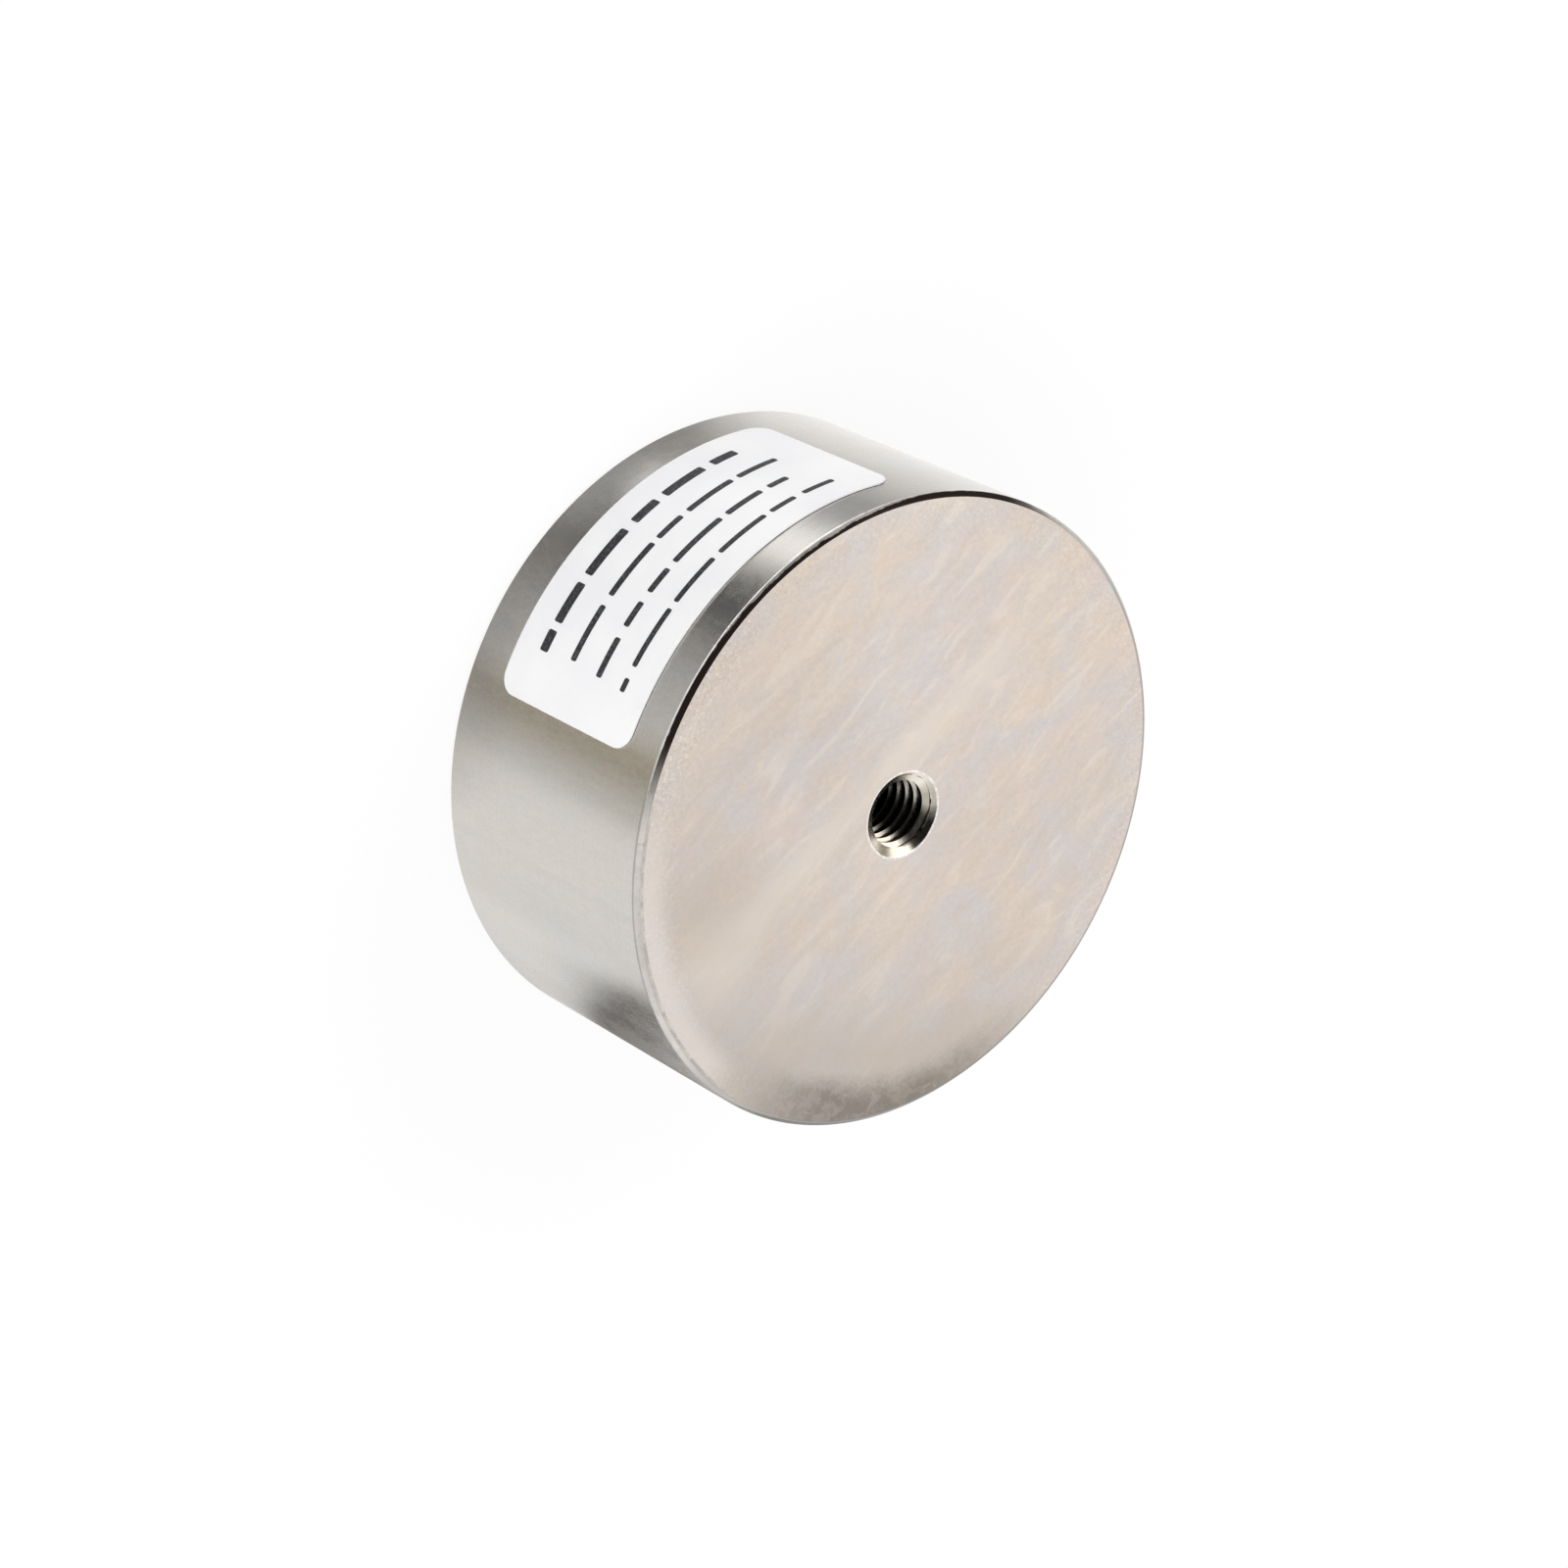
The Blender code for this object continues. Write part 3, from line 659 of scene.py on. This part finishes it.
def add_piece(name, shape, materials, replaces=(), sharp=35.0):
    """A piece on the one body, made from a bmesh in millimetres."""
    bmesh.ops.remove_doubles(shape, verts=shape.verts, dist=MERGE_DISTANCE)
    bmesh.ops.recalc_face_normals(shape, faces=shape.faces)
    bmesh.ops.scale(shape, vec=(MM, MM, MM), verts=shape.verts)
    piece = mesh_object(name, shape)
    piece.data.shade_smooth()
    piece.data.set_sharp_from_angle(angle=radians(sharp))
    for material in materials:
        piece.data.materials.append(material)
    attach(piece, "root")
    if replaces:
        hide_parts(*replaces)
    return piece


def quad(shape, corners, material=0):
    """One face from its corners, left out where it has no area."""
    distinct = list(dict.fromkeys(corners))
    if len(distinct) < 3:
        return
    face = shape.faces.new(distinct)
    face.material_index = material


def circle(shape, radius, height, count=ROUND):
    turns = (2 * pi * step / count for step in range(count))
    return [shape.verts.new((radius * cos(turn), radius * sin(turn), height)) for turn in turns]


def band(shape, first, second, material=0):
    count = max(len(first), len(second))
    for step in range(count):
        after = step + 1
        corners = (
            first[step % len(first)],
            first[after % len(first)],
            second[after % len(second)],
            second[step % len(second)],
        )
        quad(shape, corners, material)


def eased_line(corners, reach, steps=3):
    """A line of (radius, height) points with its inner corners rounded."""
    points = [Vector(corner) for corner in corners]
    line = [points[0]]
    for before, corner, after in zip(points, points[1:], points[2:]):
        span_in = min(reach, (before - corner).length / 2)
        span_out = min(reach, (after - corner).length / 2)
        enter = corner + (before - corner).normalized() * span_in
        leave = corner + (after - corner).normalized() * span_out
        for step in range(steps + 1):
            share = step / steps
            line.append(enter.lerp(corner, share).lerp(corner.lerp(leave, share), share))
    return line + [points[-1]]


def thread_profile(phase):
    """Share of the thread's depth at this share of the pitch, with its flats at root and crest."""
    root, flank, crest = 1 / 8, 5 / 16, 1 / 4
    if phase < root:
        return 1.0
    if phase < root + flank:
        return 1 - (phase - root) / flank
    if phase < root + flank + crest:
        return 0.0
    return (phase - root - flank - crest) / flank


def thread_wall(shape, mouth, material):
    """The threaded bore as a grid that follows the helix, from the mouth's circle down."""
    floor = POT_HEIGHT - THREAD_DEPTH - THREAD_PITCH
    turns_down = int((POT_HEIGHT - floor) / THREAD_PITCH) + 2
    rows = turns_down * THREAD_ROWS
    columns = []
    for step in range(ROUND):
        turn = 2 * pi * step / ROUND
        column = []
        for row in range(rows + 1):
            fall = row * THREAD_PITCH / THREAD_ROWS - THREAD_PITCH * step / ROUND
            height = POT_HEIGHT - fall
            if height >= mouth[step].co.z - 1e-6:
                column.append(mouth[step])
                continue
            height = max(height, floor)
            phase = (row % THREAD_ROWS) / THREAD_ROWS
            fade = min(max((height - floor) / THREAD_PITCH, 0), 1)
            cut = THREAD_MINOR + (THREAD_MAJOR - THREAD_MINOR) * thread_profile(phase)
            radius = DRILL_RADIUS + (cut - DRILL_RADIUS) * fade
            cone = COUNTERSINK_RADIUS - (POT_HEIGHT - height) * COUNTERSINK_SLOPE
            radius = (radius + cone + sqrt((radius - cone) ** 2 + THREAD_EASE**2)) / 2
            column.append(shape.verts.new((radius * cos(turn), radius * sin(turn), height)))
        columns.append(column)
    for step in range(ROUND):
        here, after = columns[step], columns[(step + 1) % ROUND]
        shift = THREAD_ROWS if step == ROUND - 1 else 0
        for row in range(rows):
            if row < shift:
                corners = (here[row], here[row + 1], after[0])
            else:
                corners = (here[row], here[row + 1], after[row + 1 - shift], after[row - shift])
            quad(shape, corners, material)
    lowest = circle(shape, DRILL_RADIUS, floor)
    drilled = circle(shape, DRILL_RADIUS, POT_HEIGHT - DRILL_DEPTH)
    tip = [shape.verts.new((0, 0, POT_HEIGHT - DRILL_DEPTH - DRILL_POINT))]
    band(shape, lowest, drilled, material)
    band(shape, drilled, tip, material)


def pot_material(start, end):
    """Which material of the pot this step of its outline has."""
    level = start.y == end.y
    upright = start.x == end.x
    if level and end.y == POT_HEIGHT:
        return FACE
    if upright and end.x == POT_RADIUS:
        return SIDE
    if level and end.y == 0:
        return POLE
    if level or upright:
        return GROOVE
    low_edge = POT_HEIGHT - FACE_CHAMFER
    middle = (start + end) / 2
    if middle.x < COUNTERSINK_RADIUS + 2 * MOUTH_ROUND and middle.y > low_edge:
        return WORN_AND_HIGHLIT
    if middle.x > POT_RADIUS - 2 * EDGE_WEAR[0] and middle.y > low_edge - 2 * EDGE_WEAR[1]:
        return WORN_AND_HIGHLIT
    return EDGE


def make_pot():
    """The pot as it is turned: faced and chamfered, its hole countersunk and tapped."""
    shape = bmesh.new()
    inner = COUNTERSINK_RADIUS - MOUTH_ROUND * COUNTERSINK_SLOPE / 2
    inside = Vector((inner, POT_HEIGHT - MOUTH_ROUND / 2))
    mouth = circle(shape, inside.x, inside.y)
    thread_wall(shape, mouth, THREAD)
    beside = (COUNTERSINK_RADIUS + 2 * MOUTH_ROUND, POT_HEIGHT)
    wear_in, wear_down = EDGE_WEAR
    low_edge = POT_HEIGHT - FACE_CHAMFER
    outline = eased_line([inside, (COUNTERSINK_RADIUS, POT_HEIGHT), beside], MOUTH_ROUND)[:-1]
    outline += eased_line(
        [
            beside,
            (POT_RADIUS - FACE_CHAMFER, POT_HEIGHT),
            (POT_RADIUS - wear_in, low_edge + wear_in),
            (POT_RADIUS, low_edge + wear_in - wear_down),
            (POT_RADIUS, POLE_CHAMFER),
            (POT_RADIUS - POLE_CHAMFER, 0),
            (GROOVE_RADIUS + POLE_CHAMFER, 0),
            (GROOVE_RADIUS, POLE_CHAMFER),
            (GROOVE_RADIUS, GROOVE_FLOOR),
            (CORE_RADIUS, GROOVE_FLOOR),
            (CORE_RADIUS, POLE_CHAMFER),
            (CORE_RADIUS - POLE_CHAMFER, 0),
            (0, 0),
        ],
        EDGE_ROUND,
    )
    before = mouth
    for start, end in zip(outline, outline[1:]):
        ring = circle(shape, end.x, end.y) if end.x > 0 else [shape.verts.new((0, 0, 0))]
        band(shape, before, ring, pot_material(start, end))
        before = ring
    materials = [
        turned_steel(
            "faced_nickel",
            warm=(0.735, 0.645, 0.562),
            cool=(0.665, 0.628, 0.618),
            rough=0.38,
            across="radius",
            stretch=0.6,
            rings=0.35,
            uneven=1.0,
        ),
        turned_steel(
            "turned_nickel",
            warm=(0.655, 0.62, 0.575),
            cool=(0.62, 0.605, 0.58),
            rough=0.27,
            across="height",
            stretch=0.75,
        ),
        threaded_steel(),
        ground_steel(),
        turned_steel(
            "machined_groove",
            warm=(0.52, 0.50, 0.47),
            cool=(0.48, 0.475, 0.46),
            rough=0.36,
            across="height",
            stretch=0.6,
        ),
        # The face's chamfer, with its painted dark reflection and painted shade.
        edge_nickel("edge_nickel", (0.56, 0.53, 0.49), (0.68, 0.65, 0.60), black=1.0),
        # Worn edge roundings; their light colour is partly a painted highlight.
        edge_nickel("worn_highlit_nickel", (0.70, 0.68, 0.64), (0.95, 0.93, 0.90)),
    ]
    pot = add_piece("pot_shell", shape, materials, ["pot_body"])
    pierce(pot, EXIT_RADIUS, EXIT_HEIGHT, GROOVE_RADIUS - 2, POT_RADIUS + 2)


def make_resin():
    """The cast ring, with the creep up its edges and a faintly uneven surface."""
    rng = random.Random(7)
    waves = [(rng.randint(2, 9), rng.uniform(0, 2 * pi), rng.uniform(0.2, 1)) for _ in range(7)]
    shape = bmesh.new()
    rings = []
    for index in range(RESIN_STEPS + 1):
        share = index / RESIN_STEPS
        radius = RESIN_INNER + share * (RESIN_OUTER - RESIN_INNER)
        edge = min(radius - RESIN_INNER, RESIN_OUTER - radius)
        creep = CREEP_HEIGHT * max(1 - edge / CREEP_REACH, 0) ** 2
        ring = circle(shape, radius, RESIN_FACE - creep)
        for vert in ring:
            turn = atan2(vert.co.y, vert.co.x)
            swell = sum(
                size * sin(n * turn + start + 0.35 * radius * n) for n, start, size in waves
            )
            vert.co.z += RESIN_SWELL * swell * min(edge, 1)
        rings.append(ring)
    top_out = circle(shape, RESIN_OUTER, RESIN_TOP)
    top_in = circle(shape, RESIN_INNER, RESIN_TOP)
    rings = rings + [top_out, top_in, rings[0]]
    for first, second in zip(rings, rings[1:]):
        band(shape, first, second)
    add_piece("resin_ring", shape, [cast_resin()], ["resin_face"])


def on_wall(along, height, radius):
    """A point on the side wall, this far along the sticker from its middle."""
    turn = STICKER_TURN + along / POT_RADIUS
    return radius * cos(turn), radius * sin(turn), height


def curved_patch(shape, along, height, length, width, corner, back, front):
    """A thin curved plate with rounded corners, as the sticker and each printed bar."""
    arcs = [corner * (1 - cos(radians(turn))) for turn in range(0, 91, 15)]
    inner = max(int((length - 2 * corner) / STICKER_STEP), 1)
    flat = [corner + (length - 2 * corner) * step / inner for step in range(1, inner)]
    distances = arcs + flat + [length - distance for distance in reversed(arcs)]
    loops = []
    for distance in distances:
        short = max(corner - min(distance, length - distance), 0)
        half = width / 2 - corner + sqrt(max(corner**2 - short**2, 0))
        place = along - length / 2 + distance
        section = ((back, -half), (front, -half), (front, half), (back, half))
        loops.append([shape.verts.new(on_wall(place, height + z, r)) for r, z in section])
    for first, second in zip(loops, loops[1:]):
        band(shape, first, second)
    for end in (loops[0], loops[-1]):
        quad(shape, end)


def make_sticker():
    shape = bmesh.new()
    size = (STICKER_LENGTH, STICKER_WIDTH, STICKER_CORNER)
    curved_patch(shape, 0, STICKER_MIDDLE, *size, STICKER_BACK, STICKER_FRONT)
    add_piece("sticker", shape, [sticker_film()], ["side_sticker"])


def make_print():
    """Rows of plain bars where the sticker has its print. They spell nothing."""
    rng = random.Random(21)
    shape = bmesh.new()
    thickness = (STICKER_FRONT, STICKER_FRONT + BAR_THICKNESS)
    for height, width, start, end in BAR_ROWS:
        place = start
        while place < end:
            length = min(rng.uniform(*BAR_LENGTHS), end - place)
            if length > BAR_SHORTEST:
                middle = place + length / 2
                size = (length, width, BAR_CORNER)
                curved_patch(shape, middle, STICKER_MIDDLE + height, *size, *thickness)
            place += length + rng.uniform(*BAR_GAPS)
    add_piece("sticker_bars", shape, [print_ink()])


def make_bush():
    """The lead bush, pressed in flush with the wall, with a soft edge and two bores."""
    shape = bmesh.new()
    outline = eased_line(
        [
            (0.0, BUSH_END),
            (BUSH_RADIUS, BUSH_END),
            (BUSH_RADIUS, BUSH_FACE - BUSH_CHAMFER),
            (BUSH_RADIUS - BUSH_CHAMFER, BUSH_FACE),
            (0.0, BUSH_FACE),
        ],
        EDGE_ROUND,
    )
    rings = []
    for radius, height in outline:
        ring = circle(shape, radius, height, BUSH_ROUND) if radius > 0 else None
        rings.append(ring or [shape.verts.new((0, 0, height))])
    for first, second in zip(rings, rings[1:]):
        band(shape, first, second)
    turn = Matrix.Translation((0, 0, EXIT_HEIGHT)) @ Matrix.Rotation(radians(90), 4, "X")
    bmesh.ops.transform(shape, matrix=turn, verts=shape.verts)
    nylon = moulded("bush_nylon", (0.016, 0.016, 0.017), (0.03, 0.03, 0.031), 0.38, 0.55)
    bush = add_piece("bush", shape, [nylon], ["lead_bush"])
    for side in (-1, 1):
        pierce(bush, BUSH_BORE, EXIT_HEIGHT + side * LEAD_SPACING / 2, BUSH_END - 1, BUSH_FACE + 1)


def pierce(piece, radius, height, start, end):
    """Cuts a round hole along the lead exit's direction."""
    drill = bmesh.new()
    first = circle(drill, radius, start, HOLE_ROUND)
    second = circle(drill, radius, end, HOLE_ROUND)
    band(drill, first, second)
    drill.faces.new(first)
    drill.faces.new(second)
    bmesh.ops.recalc_face_normals(drill, faces=drill.faces)
    turn = Matrix.Translation((0, 0, height * MM)) @ Matrix.Rotation(radians(90), 4, "X")
    bmesh.ops.transform(drill, matrix=turn @ Matrix.Scale(MM, 4), verts=drill.verts)
    cutter = mesh_object("drill", drill)
    boolean = piece.modifiers.new("hole", "BOOLEAN")
    boolean.solver = "EXACT"
    boolean.object = cutter
    bpy.context.view_layer.update()
    graph = bpy.context.evaluated_depsgraph_get()
    cut = bpy.data.meshes.new_from_object(piece.evaluated_get(graph), depsgraph=graph)
    piece.modifiers.remove(boolean)
    piece.data = cut
    bpy.data.objects.remove(cutter)


def dress(nodes):
    """Materials for the coil, splices and leads inside."""
    copper = drawn_metal("wound_copper", (0.45, 0.15, 0.06), (0.66, 0.28, 0.12), 0.22, 0.38)
    bare = drawn_metal("bare_copper", (0.62, 0.30, 0.17), (0.76, 0.40, 0.24), 0.28, 0.42)
    solder = drawn_metal("solder", (0.52, 0.52, 0.51), (0.66, 0.66, 0.65), 0.30, 0.48)
    nylon = moulded("bobbin_nylon", (0.66, 0.64, 0.56), (0.74, 0.72, 0.65), 0.42, 0.58)
    board = moulded("pressboard", (0.24, 0.17, 0.09), (0.36, 0.27, 0.15), 0.7, 0.85)
    tape = moulded("coil_tape_film", (0.66, 0.50, 0.09), (0.80, 0.66, 0.16), 0.28, 0.42)
    braid = moulded("glass_fibre_sleeve", (0.70, 0.68, 0.56), (0.84, 0.82, 0.72), 0.6, 0.8)
    red = moulded("red_lead_insulation", (0.42, 0.02, 0.02), (0.60, 0.04, 0.035), 0.38, 0.5)
    black = moulded("black_lead_insulation", (0.02, 0.02, 0.02), (0.045, 0.045, 0.045), 0.38, 0.5)
    wanted = (
        (copper, ("coil_winding", "start_tail", "finish_tail")),
        (bare, ("start_lead_core", "finish_lead_core")),
        (solder, ("start_splice", "finish_splice")),
        (nylon, ("bobbin",)),
        (board, ("floor_washer",)),
        (tape, ("coil_tape",)),
        (braid, ("start_sleeve", "finish_sleeve")),
        (red, ("start_lead",)),
        (black, ("finish_lead",)),
    )
    for material, names in wanted:
        for name in names:
            mesh = nodes[name].data
            mesh.materials.clear()
            mesh.materials.append(material)


def add_node(tree, kind, **settings):
    made = tree.nodes.new("ShaderNode" + kind)
    for key, value in settings.items():
        setattr(made, key, value)
    return made


def bare_material(name):
    """A material with an output and nothing that feeds it yet."""
    material = bpy.data.materials.new(name)
    material.use_nodes = True
    tree = material.node_tree
    tree.nodes.remove(tree.nodes["Principled BSDF"])
    return material, tree


def link_maximum(tree, *sockets):
    """The largest of several values."""
    result = sockets[0]
    for socket in sockets[1:]:
        larger = add_node(tree, "Math", operation="MAXIMUM")
        tree.links.new(result, larger.inputs[0])
        tree.links.new(socket, larger.inputs[1])
        result = larger.outputs[0]
    return result


def link_mix(tree, share, first, second):
    mix = add_node(tree, "MixShader")
    for index, value in enumerate((share, first, second)):
        if isinstance(value, float):
            mix.inputs[index].default_value = value
        else:
            tree.links.new(value, mix.inputs[index])
    return mix.outputs[0]


def studio_ring(tree, azimuth, stops):
    """Brightness round the horizon, as pairs of a direction in degrees and a level."""
    made = add_node(tree, "ValToRGB")
    made.color_ramp.interpolation = "EASE"
    elements = made.color_ramp.elements
    for index, (direction, level) in enumerate(stops):
        place = (direction + 180) / 360
        if index < 2:
            element = elements[index]
            element.position = place
        else:
            element = elements.new(place)
        colour = level if isinstance(level, tuple) else (level, level, level)
        element.color = (*[part / STUDIO_PEAK for part in colour], 1)
    tree.links.new(azimuth, made.inputs[0])
    return made.outputs[0]


def make_world():
    """White to look at and even for matt surfaces. Bright metal also shows the studio's flags."""
    world = bpy.data.worlds.new("studio")
    bpy.context.scene.world = world
    world.use_nodes = True
    tree = world.node_tree
    even = tree.nodes["Background"]
    even.inputs["Strength"].default_value = EVEN_LEVEL
    even.inputs["Color"].default_value = (1, 1, 1, 1)
    white = add_node(tree, "Background")
    white.inputs["Color"].default_value = (1, 1, 1, 1)
    way = add_node(tree, "TexCoord")
    parts = add_node(tree, "SeparateXYZ")
    tree.links.new(way.outputs["Generated"], parts.inputs[0])
    turn = add_node(tree, "Math", operation="ARCTAN2")
    tree.links.new(parts.outputs[1], turn.inputs[0])
    tree.links.new(parts.outputs[0], turn.inputs[1])
    azimuth = add_node(tree, "MapRange")
    azimuth.inputs["From Min"].default_value = -pi
    azimuth.inputs["From Max"].default_value = pi
    tree.links.new(turn.outputs[0], azimuth.inputs["Value"])
    all_stops = (LOW_RING, HORIZON_RING, HIGH_RING, UPPER_RING, TOP_RING)
    rings = [studio_ring(tree, azimuth.outputs[0], stops) for stops in all_stops]
    overhead = add_node(tree, "RGB")
    overhead.outputs[0].default_value = (*[part / STUDIO_PEAK for part in OVERHEAD], 1)
    colour = rings[0]
    for (low, high), above in zip(RING_HEIGHTS, (*rings[1:], overhead.outputs[0])):
        rise = add_node(tree, "MapRange", interpolation_type="SMOOTHSTEP")
        rise.inputs["From Min"].default_value = low
        rise.inputs["From Max"].default_value = high
        tree.links.new(parts.outputs[2], rise.inputs["Value"])
        mix = add_node(tree, "Mix", data_type="RGBA")
        tree.links.new(rise.outputs[0], mix.inputs[0])
        tree.links.new(colour, mix.inputs[6])
        tree.links.new(above, mix.inputs[7])
        colour = mix.outputs[2]
    studio = add_node(tree, "Background")
    studio.inputs["Strength"].default_value = STUDIO_PEAK
    tree.links.new(colour, studio.inputs["Color"])
    path = add_node(tree, "LightPath")
    seen_by = (path.outputs["Is Camera Ray"], path.outputs["Is Transmission Ray"])
    seen = link_maximum(tree, *seen_by)
    shown = link_mix(tree, path.outputs["Is Glossy Ray"], even.outputs[0], studio.outputs[0])
    shown = link_mix(tree, seen, shown, white.outputs[0])
    tree.links.new(shown, tree.nodes["World Output"].inputs[0])


def make_floor():
    """A pale floor that metal sees through to the studio, and that is clear from below."""
    shape = bmesh.new()
    bmesh.ops.create_grid(shape, x_segments=8, y_segments=8, size=FLOOR_REACH)
    floor = mesh_object("floor", shape)
    floor.location.z = -FLOOR_GAP
    material, tree = bare_material("pale_floor")
    diffuse = add_node(tree, "BsdfDiffuse")
    diffuse.inputs["Color"].default_value = FLOOR_COLOUR
    glow = add_node(tree, "Emission")
    path = add_node(tree, "LightPath")
    white = add_node(tree, "Math", operation="MULTIPLY")
    place = add_node(tree, "TexCoord")
    reach = add_node(tree, "VectorMath", operation="LENGTH")
    tree.links.new(place.outputs["Object"], reach.inputs[0])
    fade = add_node(tree, "MapRange", interpolation_type="SMOOTHSTEP")
    for name, value in FLOOR_GLOW.items():
        fade.inputs[name].default_value = value
    tree.links.new(reach.outputs["Value"], fade.inputs["Value"])
    tree.links.new(fade.outputs[0], white.inputs[1])
    seen_by = (path.outputs["Is Camera Ray"], path.outputs["Is Transmission Ray"])
    looked_at = link_maximum(tree, *seen_by)
    tree.links.new(looked_at, white.inputs[0])
    shown = link_mix(tree, white.outputs[0], diffuse.outputs[0], glow.outputs[0])
    clear = add_node(tree, "BsdfTransparent")
    side = add_node(tree, "NewGeometry")
    rays = (path.outputs["Is Shadow Ray"], path.outputs["Is Glossy Ray"])
    passes = link_maximum(tree, side.outputs["Backfacing"], *rays)
    shown = link_mix(tree, passes, shown, clear.outputs[0])
    tree.links.new(shown, tree.nodes["Material Output"].inputs[0])
    floor.data.materials.append(material)


def softbox(name, azimuth, elevation, distance, size, power):
    """A square area lamp that faces the magnet. Metal shows the studio in its place."""
    lamp = bpy.data.lights.new(name, "AREA")
    lamp.shape = "SQUARE"
    lamp.size = size
    lamp.energy = power
    made = link_object(name, lamp)
    a, e = radians(azimuth), radians(elevation)
    way = Vector((cos(a) * cos(e), sin(a) * cos(e), sin(e)))
    made.location = way * distance
    made.rotation_mode = "QUATERNION"
    made.rotation_quaternion = way.to_track_quat("Z", "Y")
    made.visible_glossy = False


def dark_card(name, lines, slope, level, closed):
    """A card with soft edges that only bright metal shows, from lines of (x, y, cover) points.

    It falls away from the wall's foot, so low views pass over it.
    """
    shape = bmesh.new()
    cover = shape.verts.layers.float.new("cover")
    rows = []
    for line in lines:
        row = []
        for x, y, share in line:
            fall = slope * (sqrt(x * x + y * y) - POT_RADIUS)
            vert = shape.verts.new((x * MM, y * MM, -fall * MM))
            vert[cover] = share
            row.append(vert)
        rows.append(row)
    if closed:
        shape.faces.new(rows[0])
    for first, second in zip(rows, rows[1:]):
        last = len(first) if closed else len(first) - 1
        for step in range(last):
            after = (step + 1) % len(first)
            quad(shape, (first[step], first[after], second[after], second[step]))
    made = mesh_object(name, shape)
    material, tree = bare_material(name)
    glow = add_node(tree, "Emission")
    glow.inputs["Color"].default_value = (*level, 1)
    clear = add_node(tree, "BsdfTransparent")
    covered = add_node(tree, "Attribute")
    covered.attribute_name = "cover"
    shown = link_mix(tree, covered.outputs["Fac"], clear.outputs[0], glow.outputs[0])
    tree.links.new(shown, tree.nodes["Material Output"].inputs[0])
    made.data.materials.append(material)
    for rays in ("camera", "diffuse", "transmission", "volume_scatter", "shadow"):
        setattr(made, "visible_" + rays, False)


def make_cards():
    """A dark patch beyond the wall's lower edge, and a shade round the foot below the sticker."""
    corners = [Vector(corner) for corner in PATCH_CORNERS]
    middle = sum(corners, Vector((0, 0))) / len(corners)
    loops = []
    for offset, share in ((-PATCH_SOFT / 2, 1.0), (0.0, 0.5), (PATCH_SOFT / 2, 0.0)):
        loop = []
        for corner in corners:
            place = corner + (corner - middle).normalized() * offset * corner.length
            loop.append((place.x, place.y, share))
        loops.append(loop)
    dark_card("patch_card", loops, PATCH_SLOPE, PATCH_LEVEL, True)
    lines = []
    for radius, fade in FOOT_FADE:
        line = []
        for degrees, share in FOOT_SHADE:
            turn = radians(degrees)
            line.append((radius * cos(turn), radius * sin(turn), fade * share))
        lines.append(line)
    dark_card("foot_card", lines, FOOT_SLOPE, FOOT_LEVEL, False)


def make_lights():
    for lamp in LAMPS:
        softbox(*lamp)


def make_camera():
    camera = bpy.data.cameras.new("photo_camera")
    camera.lens = CAMERA_LENS
    camera.sensor_width = CAMERA_SENSOR
    made = link_object("photo_camera", camera)
    made.location = CAMERA_PLACE
    way = Vector(CAMERA_TARGET) - Vector(CAMERA_PLACE)
    made.rotation_mode = "QUATERNION"
    level = way.to_track_quat("-Z", "Y").to_matrix()
    made.rotation_quaternion = (level @ Matrix.Rotation(CAMERA_ROLL, 3, "Z")).to_quaternion()
    bpy.context.scene.camera = made


def build():
    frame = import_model()
    make_camera()
    make_world()
    make_floor()
    make_lights()
    make_cards()
    make_pot()
    make_resin()
    make_sticker()
    make_print()
    make_bush()
    dress(frame["nodes"])
    bpy.context.scene.view_settings.view_transform = "Standard"


build()
